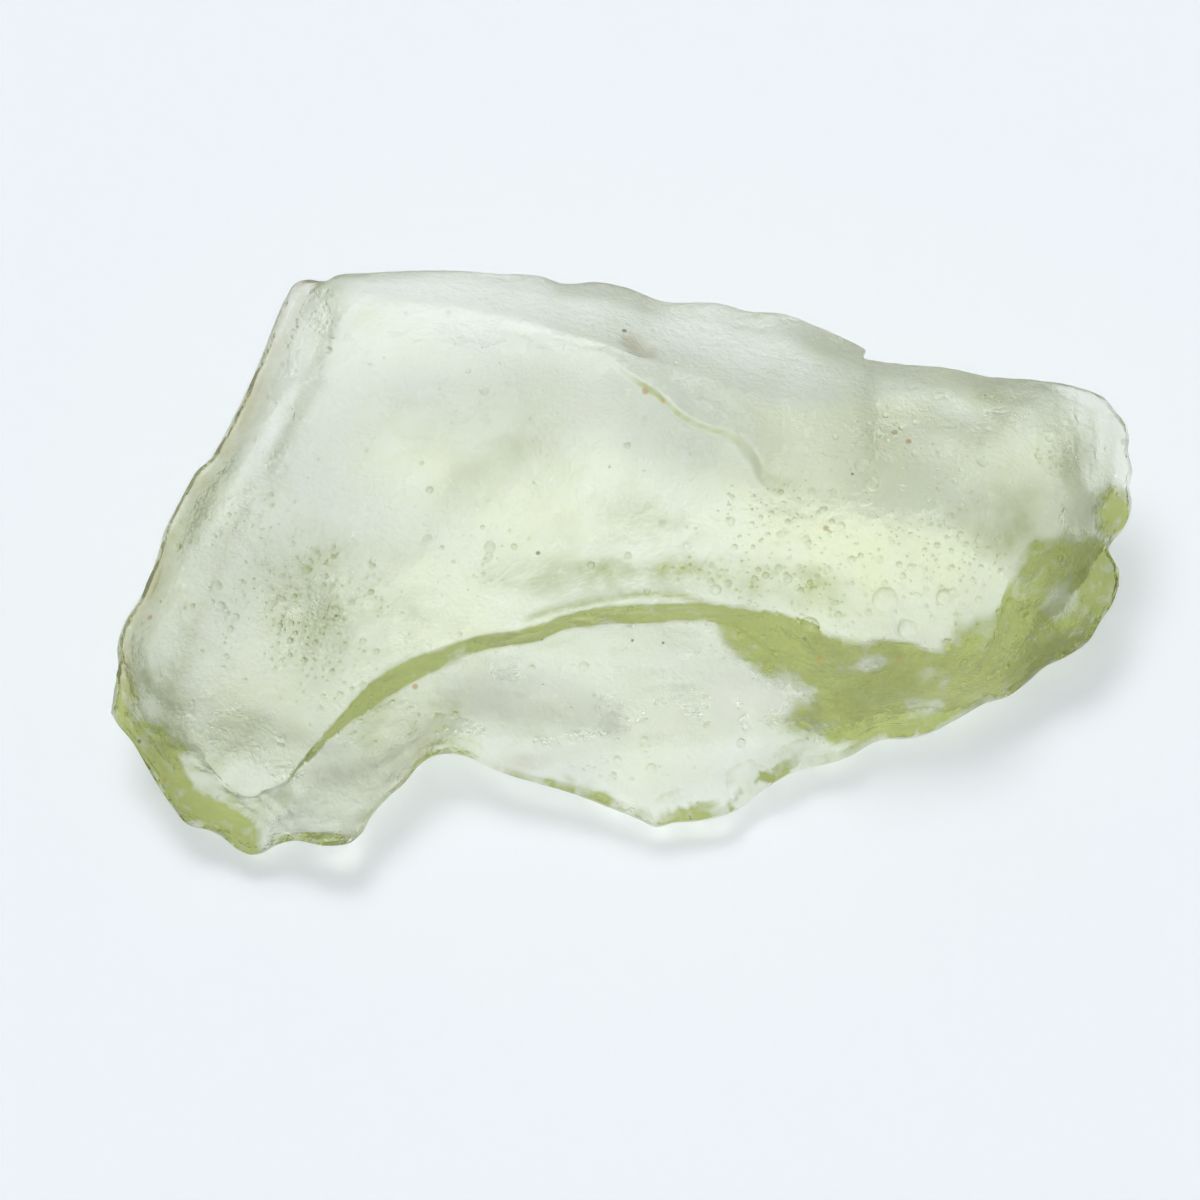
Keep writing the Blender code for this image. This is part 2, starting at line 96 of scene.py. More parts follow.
RIGHT_EDGE = (
    (1118, 585, 3.3), (1118, 570, 3.5), (1112, 558, 3.7), (1108, 548, 3.8), (1113, 540, 3.9),
    (1122, 530, 4.0), (1131, 500, 4.4), (1129, 490, 4.5), (1132, 470, 4.7), (1128, 450, 5.0),
    (1129, 438, 5.1), (1126, 423, 5.2), (1118, 413, 5.3), (1112, 405, 5.4), (1105, 397, 5.5),
)
FRONT_EDGE = (
    (114, 712, 3.2), (120, 722, 3.1), (135, 740, 2.9), (150, 765, 2.6), (165, 790, 2.2),
    (178, 808, 1.9), (190, 822, 1.7), (205, 826, 1.6), (225, 835, 1.4), (240, 847, 1.2),
    (252, 852, 1.1), (260, 851, 1.1), (275, 843, 1.4), (295, 838, 1.8), (330, 843, 2.1),
    (350, 840, 2.1), (362, 830, 2.1), (370, 815, 2.1), (380, 803, 2.2), (405, 780, 2.3),
    (420, 762, 2.4), (435, 753, 2.4), (450, 751, 2.3), (470, 755, 2.2), (490, 765, 2.1),
    (535, 780, 1.8), (560, 786, 1.7), (610, 803, 1.5), (640, 815, 1.4), (655, 822, 1.3),
    (675, 818, 1.3), (700, 816, 1.3), (735, 806, 1.3), (745, 800, 1.3), (760, 788, 1.3),
    (780, 775, 1.3), (800, 765, 1.3), (825, 760, 1.3), (850, 752, 1.3), (880, 736, 1.4),
    (910, 734, 1.4), (930, 729, 1.5), (965, 712, 1.8), (985, 702, 2.0), (1005, 696, 2.1),
    (1025, 682, 2.3), (1045, 665, 2.4), (1065, 655, 2.5), (1085, 643, 2.6), (1100, 620, 2.8),
    (1111, 604, 3.0), (1118, 585, 3.3),
)
print("points on the outline:", sum(map(len, (LEFT_EDGE, BACK_EDGE, RIGHT_EDGE, FRONT_EDGE))))

# %% [markdown]
# ## The lines of the top face
# Between the front edge and the back edge the top runs over seven more lines, each from the left
# edge to the right edge. The pairs say how far along the two edges a line begins and ends. Where a
# real crease is, such as the crest of the ledge, the surface may bend sharply at the line.

# %% Seven lines, front to back
HOLLOW_ENDS = (0.03, 0.05)
HOLLOW = (
    (150, 750, 3.0), (180, 785, 2.7), (210, 808, 2.4), (245, 825, 2.0), (270, 818, 2.3),
    (310, 805, 2.8), (345, 780, 3.0), (380, 745, 3.3), (415, 722, 3.5), (450, 715, 3.6),
    (550, 708, 3.6), (650, 708, 3.5), (700, 708, 3.3), (750, 712, 3.0), (790, 720, 2.8),
    (825, 725, 2.7), (870, 715, 2.7), (920, 710, 2.6), (965, 697, 2.8), (1000, 682, 3.0),
    (1030, 660, 3.2), (1060, 632, 3.3), (1090, 610, 3.3),
)
LEDGE_FOOT_ENDS = (0.06, 0.10)
LEDGE_FOOT = (
    (150, 735, 3.4), (185, 765, 3.4), (215, 795, 3.0), (245, 808, 2.8), (285, 786, 3.6),
    (300, 769, 3.8), (320, 750, 4.0), (350, 724, 4.2), (380, 703, 4.4), (420, 680, 4.6),
    (450, 665, 4.8), (490, 649, 5.0), (540, 639, 5.1), (570, 628, 5.1), (600, 624, 5.1),
    (650, 624, 5.1), (700, 621, 5.1), (740, 630, 5.0), (770, 652, 4.6), (800, 680, 3.9),
    (840, 690, 3.8), (870, 692, 3.9), (920, 690, 3.7), (965, 683, 3.6), (1000, 665, 3.8),
    (1020, 635, 4.1), (1045, 605, 4.2), (1075, 590, 4.0), (1095, 580, 3.9),
)
LEDGE_CREST_ENDS = (0.10, 0.19)
LEDGE_CREST = (
    (150, 715, 3.9), (195, 740, 4.3), (222, 780, 3.9), (250, 798, 3.6), (285, 780, 4.0),
    (300, 765, 4.3), (320, 742, 4.7), (345, 711, 5.2), (380, 675, 5.7), (410, 658, 6.0),
    (450, 644, 6.2), (490, 635, 6.4), (540, 625, 6.5), (570, 614, 6.6), (600, 608, 6.7),
    (650, 605, 6.8), (700, 604, 6.9), (740, 609, 6.9), (800, 620, 6.9), (840, 638, 6.6),
    (880, 640, 6.3), (930, 648, 5.7), (975, 655, 5.1), (990, 640, 5.2), (997, 615, 5.5),
    (1005, 590, 5.8), (1020, 567, 5.9), (1050, 550, 5.8), (1080, 548, 5.2),
)
PLATEAU_FRONT_ENDS = (0.24, 0.44)
PLATEAU_FRONT = (
    (150, 628, 4.6), (200, 645, 5.0), (280, 650, 5.4), (350, 600, 6.2), (420, 570, 6.7),
    (500, 550, 7.0), (600, 535, 7.3), (700, 530, 7.4), (800, 540, 7.5), (880, 560, 7.2),
    (940, 575, 6.7), (975, 560, 6.6), (1010, 525, 6.6), (1060, 505, 6.2), (1095, 505, 5.5),
)
STEP_FOOT_ENDS = (0.66, 0.65)
STEP_FOOT = (
    (245, 435, 5.8), (300, 400, 6.3), (380, 375, 6.9), (460, 364, 7.2), (530, 362, 7.4),
    (575, 360, 7.45), (597, 357, 7.5), (618, 372, 7.5), (638, 387, 7.5), (663, 404, 7.5),
    (678, 419, 7.5), (698, 429, 7.5), (726, 437, 7.5), (742, 450, 7.55), (752, 463, 7.6),
    (757, 480, 7.7), (775, 497, 7.75), (820, 500, 7.75), (880, 490, 7.6), (960, 480, 7.2),
    (1040, 470, 6.7), (1095, 470, 6.0),
)
STEP_TOP_ENDS = (0.74, 0.73)
STEP_TOP = (
    (262, 400, 6.0), (320, 370, 6.6), (400, 348, 7.1), (480, 344, 7.35), (540, 348, 7.5),
    (575, 350, 7.6), (599, 350, 7.75), (622, 365, 7.9), (642, 380, 7.95), (667, 397, 7.95),
    (682, 412, 7.95), (702, 422, 7.95), (730, 430, 7.95), (748, 443, 7.95), (759, 456, 7.9),
    (766, 470, 7.85), (785, 475, 7.85), (830, 465, 7.85), (890, 452, 7.7), (970, 440, 7.3),
    (1050, 432, 6.75), (1098, 432, 6.1),
)
BACK_CREST_ENDS = (0.96, 0.91)
BACK_CREST = (
    (325, 287, 6.5), (360, 292, 6.8), (400, 298, 7.0), (450, 303, 7.2), (500, 312, 7.3),
    (545, 324, 7.45), (575, 334, 7.55), (605, 342, 7.7), (650, 358, 7.8), (700, 374, 7.8),
    (760, 394, 7.7), (820, 402, 7.6), (870, 398, 7.4), (930, 388, 7.1), (1000, 386, 6.8),
    (1060, 395, 6.3), (1095, 408, 5.9),
)
INNER_LINES = (HOLLOW, LEDGE_FOOT, LEDGE_CREST, PLATEAU_FRONT, STEP_FOOT, STEP_TOP, BACK_CREST)
INNER_ENDS = (HOLLOW_ENDS, LEDGE_FOOT_ENDS, LEDGE_CREST_ENDS, PLATEAU_FRONT_ENDS,
              STEP_FOOT_ENDS, STEP_TOP_ENDS, BACK_CREST_ENDS)
SHARP_LINES = (2, 3, 5, 6, 7)
BAND_ROWS = (5, 4, 2, 4, 5, 1, 3, 2)
print("points on the inner lines:", sum(map(len, INNER_LINES)))

# %% [markdown]
# ## Smooth curves through points
# One small function does nearly everything: it passes a smooth curve through values at given places.
# At a corner it lets the curve arrive from one side and leave from the other with its own slope.

# %% Curves
def spline(values, knots, at, corners=()):
    """Values at `at`, on a smooth curve through them that may bend sharply at the corner knots."""
    values = np.asarray(values, float)
    knots = np.asarray(knots, float)
    spans = np.diff(knots)
    shape = (-1,) + (1,) * (values.ndim - 1)
    slopes = np.diff(values, axis=0) / spans.reshape(shape)
    leave = np.concatenate([slopes, slopes[-1:]])
    arrive = np.concatenate([slopes[:1], slopes])
    for k in range(1, len(knots) - 1):
        if k not in corners:
            near, far = spans[k - 1], spans[k]
            leave[k] = arrive[k] = (slopes[k - 1] * far + slopes[k] * near) / (near + far)
    at = np.clip(np.asarray(at, float), knots[0], knots[-1])
    k = np.clip(np.searchsorted(knots, at, side="right") - 1, 0, len(spans) - 1)
    span = spans[k].reshape(shape)
    t = ((at - knots[k]) / spans[k]).reshape(shape)
    t2, t3 = t * t, t * t * t
    return ((2 * t3 - 3 * t2 + 1) * values[k] + (t3 - 2 * t2 + t) * span * leave[k]
            + (3 * t2 - 2 * t3) * values[k + 1] + (t3 - t2) * span * arrive[k + 1])


def evenly(points, count):
    """`count` + 1 places evenly spaced along the smooth curve through the points."""
    points = np.asarray(points, float)
    knots = np.concatenate([[0], np.cumsum(np.linalg.norm(np.diff(points, axis=0), axis=1))])
    dense = spline(points, knots, np.linspace(0, knots[-1], 12 * len(points)))
    run = np.concatenate([[0], np.cumsum(np.linalg.norm(np.diff(dense, axis=0), axis=1))])
    wanted = np.linspace(0, run[-1], count + 1)
    return np.stack([np.interp(wanted, run, dense[:, axis]) for axis in range(3)], axis=1)


def share_along(curve, share):
    """The point at that share, 0 to 1, of an evenly spaced curve."""
    at = np.asarray(share, float) * (len(curve) - 1)
    index = np.arange(len(curve))
    return np.stack([np.interp(at, index, curve[:, axis]) for axis in range(3)], axis=-1)


print("halfway along the front edge, mm:",
      [round(c / MM, 2) for c in share_along(evenly([place(*p) for p in FRONT_EDGE], 400), 0.5)])

# %% [markdown]
# ## The broken edge
# The edge is not a knife: it is a narrow band where the top and the underside meet, thickest along
# the hollow at the front.

# %% Edge helpers
EDGE_THIN = 0.00045
EDGE_THICK = 0.0009
EDGE_BULGE = 0.00012
KNOTS = np.concatenate([[0], np.cumsum(BAND_ROWS)]) / sum(BAND_ROWS)
SHARES = [[0] + [end[which] for end in INNER_ENDS] + [1] for which in (0, 1)]


def edges(along, rows):
    """The four edges as evenly spaced points."""
    front, back = (evenly([place(*p) for p in line], along) for line in (FRONT_EDGE, BACK_EDGE))
    left, right = (evenly([place(*p) for p in line], 8 * rows) for line in (LEFT_EDGE, RIGHT_EDGE))
    return front, right, back, left


def side_points(edge, which, v):
    """Points of the left (0) or right (1) edge at shares v of the way from front to back."""
    return share_along(edge, np.interp(v, KNOTS, SHARES[which]))


def edge_height(u, v):
    """Thickness of the broken edge."""
    hollow = np.clip((u - 0.44) / 0.06, 0, 1) * np.clip((0.86 - u) / 0.08, 0, 1)
    return EDGE_THIN + (EDGE_THICK - EDGE_THIN) * hollow * (v < 0.5)


print("edge thickness in the middle of the front, mm:", round(float(edge_height(0.6, 0)) / MM, 2))

# %% [markdown]
# ## Two faces
# The top is a sheet drawn over all nine lines. The underside is hidden in the picture. It is made as
# a shallow bowl with the broad, shell-like scars that flakes leave, two scars meeting in a ridge.

# %% The top sheet
def top_face(along, v):
    """Points of the top face, as an array of rows (v) by columns (along the piece)."""
    front, right, back, left = edges(along, len(v))
    columns = np.linspace(0, 1, along + 1)
    lines = [front]
    for line, at_left, at_right in zip(INNER_LINES, SHARES[0][1:], SHARES[1][1:]):
        start, end = share_along(left, at_left), share_along(right, at_right)
        lines.append(evenly([start] + [place(*p) for p in line] + [end], along))
    lines = np.array(lines + [back])
    lines[0, :, 2] += edge_height(columns, 0) / 2
    lines[-1, :, 2] += edge_height(columns, 1) / 2
    lines[1:-1, [0, -1], 2] += EDGE_THIN / 2
    points = spline(lines, KNOTS, v, corners=SHARP_LINES)
    fade = np.clip(1 - columns / 0.08, 0, 1)[None, :, None] ** 2
    for which, edge, column, weight in ((0, left, 0, fade), (1, right, -1, fade[:, ::-1])):
        wanted = side_points(edge, which, v)
        wanted[:, 2] += EDGE_THIN / 2
        points = points + (wanted - points[:, column])[:, None] * weight
    return points


print("rows in each band of the top:", BAND_ROWS)


# %% [markdown]
# ## The underside
# Nothing of it shows, so it is built from three guessed rows of heights, at a quarter, a half and
# three quarters of the way back. Its middle lies lowest, and there the stone will rest. Round
# dishes are then pressed up into it, and where two meet they leave a ridge, as flakes do.

# %% The underside sheet
UNDER_STATIONS = (0.1, 0.25, 0.5, 0.75, 0.9)
UNDER_FRONT = (1.5, 1.0, 1.2, 0.8, 0.9)
UNDER_MIDDLE = (1.3, -0.45, -0.7, -0.6, 0.3)
UNDER_BACK = (2.4, 0.8, 0.4, 0.0, 1.2)
UNDER_SCARS = (
    (-15.5, -4.5, 4.6, 0.9), (-12.0, 3.5, 6.2, 1.0), (-4.5, -7.0, 5.2, 0.8), (-6.0, 9.0, 5.6, 0.9),
    (4.5, -8.0, 5.0, 0.9), (3.5, 9.5, 5.4, 1.0), (11.5, -4.5, 4.8, 0.8), (12.5, 6.0, 4.8, 0.9),
    (18.0, 0.5, 4.4, 0.9), (-16.5, -9.5, 3.6, 0.7),
)


def under_face(along, v):
    """Points of the underside, on the same rows and columns."""
    front, right, back, left = edges(along, len(v))
    columns = np.linspace(0, 1, along + 1)
    left, right = side_points(left, 0, v), side_points(right, 1, v)
    for edge, height in ((front, edge_height(columns, 0)), (back, edge_height(columns, 1)),
                         (left, EDGE_THIN), (right, EDGE_THIN)):
        edge[:, 2] -= height / 2
    u, w = columns[None, :, None], np.asarray(v)[:, None, None]
    ends = (front[:1] * (1 - w[:, 0]) + back[:1] * w[:, 0],
            front[-1:] * (1 - w[:, 0]) + back[-1:] * w[:, 0])
    points = (front[None] * (1 - w) + back[None] * w + (left - ends[0])[:, None] * (1 - u)
              + (right - ends[1])[:, None] * u)
    stations = (0,) + UNDER_STATIONS + (1,)
    heights = [front[:, 2]]
    for line, row in ((UNDER_FRONT, 0.25), (UNDER_MIDDLE, 0.5), (UNDER_BACK, 0.75)):
        sides = [np.interp(row, v, side[:, 2]) for side in (left, right)]
        inner = [height * MM for height in line]
        heights.append(spline([sides[0]] + inner + [sides[1]], stations, columns))
    heights = spline(np.array(heights + [back[:, 2]]), (0, 0.25, 0.5, 0.75, 1), v)
    rim = np.minimum(1, 12 * np.minimum(columns, 1 - columns))[None]
    points[..., 2] = points[..., 2] * (1 - rim) + heights * rim
    return points


def add_under_scars(points):
    """Hollows the underside where old flakes came off. Two scars meet in a ridge."""
    hollow = np.zeros(points.shape[:2])
    for x, y, radius, depth in UNDER_SCARS:
        r = np.hypot(points[..., 0] - x * MM, points[..., 1] - y * MM) / (radius * MM)
        hollow = np.maximum(hollow, depth * MM * (1 - r * r))
    rows, columns = hollow.shape
    i, j = np.arange(rows)[:, None] / (rows - 1), np.arange(columns)[None] / (columns - 1)
    inside = np.clip(8 * np.minimum(np.minimum(i, 1 - i), np.minimum(j, 1 - j) * 2), 0, 1)
    points[..., 2] += hollow * inside


print("scars on the underside:", len(UNDER_SCARS))


# %% [markdown]
# ## Unevenness
# Broken glass is never flat. Two slow noises bend both faces by a few hundredths of a millimetre.
# They depend only on the place, so the fine mesh here and the solid part have the same bends.

# %% Waviness
def waviness(x, y):
    """Gentle unevenness of a broken glass surface, in metres."""
    broad = noise.noise(Vector((x * 220, y * 220, 3.1)))
    close = noise.noise(Vector((x * 620, y * 620, 8.7)))
    return (0.16 * broad + 0.05 * close) * MM


def add_waviness(points, share):
    """Adds a share of the unevenness, fading to nothing at the edge."""
    rows, columns = points.shape[:2]
    for i in range(1, rows - 1):
        for j in range(1, columns - 1):
            edge = min(i / rows, 1 - i / rows, j / columns * 2, (1 - j / columns) * 2)
            points[i, j, 2] += waviness(points[i, j, 0], points[i, j, 1]) * min(1, edge * 8) * share


print("bend 5 mm to the right of the middle, mm:", round(waviness(5 * MM, 0) / MM, 3))


# %% [markdown]
# ## A fine grid
# Both faces are drawn on the same grid of points, fine enough for the ripples, and coarse enough
# that the stone stays under 200,000 triangles when all the pits have been cut.

# %% Draw both faces finely
ALONG = 232
ROWS = 5 * sum(BAND_ROWS)
ACROSS = np.linspace(0, 1, ROWS + 1)
top = top_face(ALONG, ACROSS)
under = under_face(ALONG, ACROSS)
add_under_scars(under)
add_waviness(top, 1.0)
add_waviness(under, 2.2)
print("grid", top.shape, "highest mm", round(top[..., 2].max() / MM, 2))

# %% [markdown]
# ## Wear and fracture
# Sand has rounded every crest, so the sheet is averaged a little. Then come the marks that tell how
# each face was made: ripples in the hollow, which run round the place where the flake was struck
# off, a hackly wall at the front right, and a nibbled edge. They move points along the surface's own
# normal, because a wall moved straight up would only slide along itself.

# %% Soften the crests
def soften(points, times):
    """Averages each inner point with its four neighbours."""
    for _ in range(times):
        inner = points[1:-1, 1:-1]
        near = (points[:-2, 1:-1] + points[2:, 1:-1] + points[1:-1, :-2] + points[1:-1, 2:]) / 4
        points[1:-1, 1:-1] = inner * 0.5 + near * 0.5


soften(top, 2)
soften(under, 3)
print("highest after softening, mm:", round(top[..., 2].max() / MM, 2))


# %% [markdown]
# ## Where on the stone
# Two ways to say where a mark lies: by the lines of the surface (U along the piece, V from front to
# back), and by ovals drawn over the picture. A ramp softens every border.

# %% Normals and zones
def normals_of(points):
    """The way each point of a sheet faces."""
    along = np.gradient(points, axis=1)
    back = np.gradient(points, axis=0)
    facing = np.cross(along, back)
    return facing / np.maximum(np.linalg.norm(facing, axis=-1, keepdims=True), 1e-12)


def ramp(value, low, high):
    """0 below low, 1 above high, smooth between them. It falls instead where high is below low."""
    t = np.clip((value - low) / (high - low), 0, 1)
    return t * t * (3 - 2 * t)


def noise_field(points, scale, seed, octaves=1):
    """Noise at each point of a sheet, at that many bumps a metre."""
    flat = points.reshape(-1, 3)
    out = np.array([noise.fractal(Vector(p) * scale + Vector((seed, seed, 0)), 0.6, 2.1, octaves)
                    if octaves > 1 else noise.noise(Vector(p) * scale + Vector((seed, seed, 0)))
                    for p in flat])
    return out.reshape(points.shape[:2])


U, V = np.meshgrid(np.linspace(0, 1, ALONG + 1), ACROSS)
shown_x = top[..., 0] / PIXEL + MIDDLE_PIXEL[0]
shown_y = MIDDLE_PIXEL[1] - (top[..., 1] * math.sin(VIEW_ELEVATION)
                             + top[..., 2] * math.cos(VIEW_ELEVATION)) / PIXEL
FOOT, CREST, STEP_LOW, STEP_HIGH, BACK = (KNOTS[k] for k in (2, 3, 5, 6, 7))
in_hollow = (ramp(V, 0.01, 0.05) * ramp(V, FOOT + 0.01, FOOT - 0.02)
             * ramp(U, 0.28, 0.36) * ramp(U, 0.80, 0.74))
on_wall = ramp(V, FOOT - 0.015, FOOT + 0.02) * ramp(V, CREST + 0.012, CREST - 0.012)
hackly = ramp(U, 0.70, 0.78) * ramp(V, 0.0, 0.05) * ramp(V, CREST + 0.01, CREST - 0.02)
near_edge = np.maximum.reduce([ramp(V, 0.05, 0.0), ramp(V, 0.97, 1.0), ramp(U, 0.02, 0.0),
                               ramp(U, 0.985, 1.0)])
print("share of the top in the hollow:", round(float(in_hollow.mean()), 3))


# %% Spots and bands in the picture
def spot(x, y, wide, high, turn=0):
    """1 in the middle of an oval seen in the picture, 0 outside it. Sizes are half widths in pixels."""
    angle = math.radians(turn)
    dx, dy = shown_x - x, shown_y - y
    along = (dx * math.cos(angle) - dy * math.sin(angle)) / wide
    across = (dx * math.sin(angle) + dy * math.cos(angle)) / high
    return ramp(np.hypot(along, across), 1, 0.35)


def spots(rows):
    """The strongest of several ovals at each point."""
    return np.maximum.reduce([strength * spot(*oval) for strength, *oval in rows])


print("share of the top in an oval of 100 pixels:", round(float((spot(600, 500, 100, 100) > 0).mean()), 3))


# %% [markdown]
# ## Fresh and worn faces
# Blown sand has turned the old faces white and satin. The young breaks, which are the wall of the
# ledge, the rough corner at the front right and the bevel at the front left, are still clear, so
# there the eye looks into the thick body and sees its olive colour. One number for each point,
# called fresh, says how clear it is.

# %% Where the glass is fresh
patches = noise_field(top, 420, 31.0, 3)
flecks = noise_field(top, 1300, 33.0, 2)
FRESH_SPOTS = (
    (1.0, 1070, 590, 85, 90, 0), (1.0, 1000, 655, 110, 66, 20), (1.0, 890, 705, 150, 56, 8),
    (0.9, 775, 650, 100, 42, -30), (0.9, 150, 775, 56, 120, 35), (0.9, 215, 830, 80, 40, -25),
    (0.7, 116, 700, 34, 100, 0), (0.8, 1120, 515, 30, 60, 0), (0.9, 320, 842, 80, 17, 0),
    (0.65, 600, 803, 70, 12, -18), (0.8, 690, 812, 50, 12, 20), (0.9, 765, 782, 70, 14, 35),
)
CLOUD_SPOTS = (
    (0.55, 640, 578, 200, 36, 0), (0.42, 790, 585, 110, 34, -10), (0.2, 620, 640, 120, 24, 0),
    (0.45, 190, 770, 130, 110, -30), (0.3, 160, 640, 60, 130, 0), (0.35, 400, 730, 90, 60, -30),
    (0.25, 480, 720, 120, 60, 0), (0.25, 370, 800, 90, 60, 0),
    (0.28, 340, 600, 130, 100, -20), (0.3, 410, 640, 90, 60, -30), (0.25, 330, 305, 90, 50, 0),
    (0.24, 520, 470, 110, 60, 10), (0.18, 430, 420, 90, 60, 0), (0.22, 640, 525, 110, 50, 0),
    (0.12, 700, 420, 80, 80, 30), (0.14, 240, 480, 80, 70, 0),
    (0.35, 1010, 520, 80, 60, 0), (0.22, 1075, 440, 70, 70, 0),
)
PALE_SPOTS = (
    (0.8, 870, 663, 26, 13, 10), (0.4, 1060, 600, 26, 28, 0), (0.35, 920, 705, 30, 18, 0),
    (0.9, 262, 800, 34, 26, 0), (0.7, 640, 685, 120, 30, -3),
)
edge_strip = ramp(U, 0.075, 0.005) * ramp(V, 0.97, 0.75) * 0.75
fresh = np.maximum.reduce([on_wall * ramp(U, 0.16, 0.26), hackly * 0.9, spots(FRESH_SPOTS),
                           ramp(V, 0.02, 0.0) * 0.5])
fresh = ramp(fresh + 0.20 * patches + 0.14 * flecks, 0.25, 0.75)
fresh = np.maximum.reduce([fresh, edge_strip, spots(CLOUD_SPOTS) * np.clip(1 + patches, 0, 2)])
step_wall = ramp(V, STEP_LOW - 0.004, STEP_LOW + 0.01) * ramp(V, STEP_HIGH + 0.004, STEP_HIGH - 0.01)
fresh = np.maximum(fresh, step_wall * ramp(U, 0.42, 0.46) * ramp(U, 0.66, 0.62) * 0.5)
fresh = fresh * (1 - spots(PALE_SPOTS)) * np.clip(1 + 0.15 * patches, 0.2, 1.1)
fresh = np.clip(fresh, 0, 1)
print("fresh share of the top:", round(float(fresh.mean()), 3))


# %% [markdown]
# ## The thin second line
# Just above the middle of the ledge a short, finer crack edge runs beside it. It is drawn as a
# line over the picture, and becomes a shallow groove with a fresh, olive wall.

# %% A line drawn over the picture
def near_line(points, reach):
    """1 on a line of picture points that runs left to right, 0 that many pixels above or below it."""
    xs, ys = zip(*points)
    inside = ramp(shown_x, xs[0] - 12, xs[0] + 12) * ramp(shown_x, xs[-1] + 12, xs[-1] - 12)
    return inside * ramp(np.abs(shown_y - np.interp(shown_x, xs, ys)), reach, 0)


UPPER_LEDGE = ((528, 618), (560, 608), (600, 600), (640, 594), (680, 595), (710, 606))
upper_ledge = near_line(UPPER_LEDGE, 8)
fresh = np.maximum(fresh, upper_ledge * 0.9)
print("points on the second line:", int((upper_ledge > 0.5).sum()))

# %% [markdown]
# ## Ripples, hackles and nibbles
# Each mark is a noise or a wave in its own zone, stretched along or across the piece as the
# picture shows it, with a height in millimetres. All are added up and pressed in once.

# %% Low relief of the top
def arcs(x, y, pixels):
    """Waves round a point of the picture, one for every so many pixels."""
    return np.sin(np.hypot(shown_x - x, shown_y - y) * 2 * math.pi / pixels)


bright_streak = spot(650, 682, 120, 22, -4)
streaks = noise_field(top * [0.35, 2.4, 1], 1500, 4.0, 2)
ripple = noise_field(top * [1, 2.6, 1], 260, 5.0, 2) * 0.04 + noise_field(top, 900, 6.0) * 0.03
wall_bumps = noise_field(top * [0.6, 1, 1], 800, 9.0, 4) * 0.16
hackles = noise_field(top, 330, 12.0, 3) * 0.20 - np.abs(noise_field(top, 700, 13.0, 2)) * 0.06
nibbles = noise_field(top, 1300, 15.0, 2) * 0.22
scratches = noise_field(top * [2.2, 0.5, 1], 1200, 17.0, 3) * 0.09
fine_grain = noise_field(top, 1800, 18.0, 2) * 0.03
chip = spot(270, 816, 42, 38) * (arcs(232, 856, 12) * 0.075 - 0.22)
front_bevel = spot(180, 785, 95, 90, -40)
bevel_steps = np.abs(noise_field(top * [1.2, 0.8, 1], 420, 19.0, 3)) * -0.22
clay_pit = np.clip(1.6 * spot(640, 344, 27, 12, -24), 0, 1)
old_skin = spot(300, 600, 190, 170) + spot(830, 560, 220, 140)
skin = noise_field(top, 620, 20.0, 3) * 0.04 + noise_field(top, 2200, 23.0, 2) * 0.04
right_end = spot(1072, 450, 75, 95)
rim_chips = ramp(V, 0.07, 0.0) * -np.abs(noise_field(top, 560, 22.0, 2)) * 0.30
rim_chips -= spot(735, 782, 95, 34, 28) * np.abs(noise_field(top, 380, 24.0, 2)) * 0.45
relief = (in_hollow * ripple + in_hollow * ramp(V, 0.18, 0.26) * streaks * 0.04
          + bright_streak * streaks * 0.06 + on_wall * wall_bumps + hackly * hackles
          + near_edge * ramp(V, 0.97, 0.8) * nibbles + right_end * scratches + chip
          + front_bevel * bevel_steps + np.clip(old_skin, 0, 1) * skin + rim_chips
          - upper_ledge * 0.06 - clay_pit * 0.14 + fine_grain) * MM
top += normals_of(top) * relief[..., None]
under += normals_of(under) * (noise_field(under, 700, 21.0, 3) * 0.05 * MM)[..., None]
print("relief, mm:", round(float(relief.min()) / MM, 3), "to", round(float(relief.max()) / MM, 3))

# %% [markdown]
# ## One closed mesh
# A flat plate of grid squares is extruded once, so it is closed and all its faces point out. Each of
# its points is then moved to its place on the top, the underside or the edge.

# %% Plate to stone
front, right, back, left = edges(ALONG, ROWS + 1)
middle = np.zeros((ROWS + 1, ALONG + 1, 3))
middle[:, 0], middle[:, -1] = side_points(left, 0, ACROSS), side_points(right, 1, ACROSS)
middle[0], middle[-1] = front, back
centre = (front.mean(axis=0) + back.mean(axis=0)) / 2

plate = bmesh.new()
bmesh.ops.create_grid(plate, x_segments=ALONG, y_segments=ROWS, size=0.5)
bmesh.ops.translate(plate, verts=plate.verts, vec=(0.5, 0.5, 0))
raised = bmesh.ops.extrude_face_region(plate, geom=plate.faces[:])["geom"]
bmesh.ops.translate(plate, verts=[g for g in raised if isinstance(g, bmesh.types.BMVert)], vec=(0, 0, 1))
upright = [e for e in plate.edges if abs(e.verts[0].co.z - e.verts[1].co.z) > 0.5]
bmesh.ops.subdivide_edges(plate, edges=upright, cuts=1)
bmesh.ops.recalc_face_normals(plate, faces=plate.faces[:])
for vert in plate.verts:
    i, j = round(vert.co.y * ROWS), round(vert.co.x * ALONG)
    if vert.co.z > 0.75:
        vert.co = top[i, j]
    elif vert.co.z < 0.25:
        vert.co = under[i, j]
    else:
        out = Vector(middle[i, j] - centre)
        out.z = 0
        vert.co = Vector(middle[i, j]) + out.normalized() * EDGE_BULGE
print("closed mesh:", len(plate.verts), "points")

# %% [markdown]
# ## Move it on to the solid part
# The solid part is centred on the origin and rests on the table, so the fine mesh is moved the same
# way. A copy of it is kept uncut, because the bubble pits are scattered over that copy.

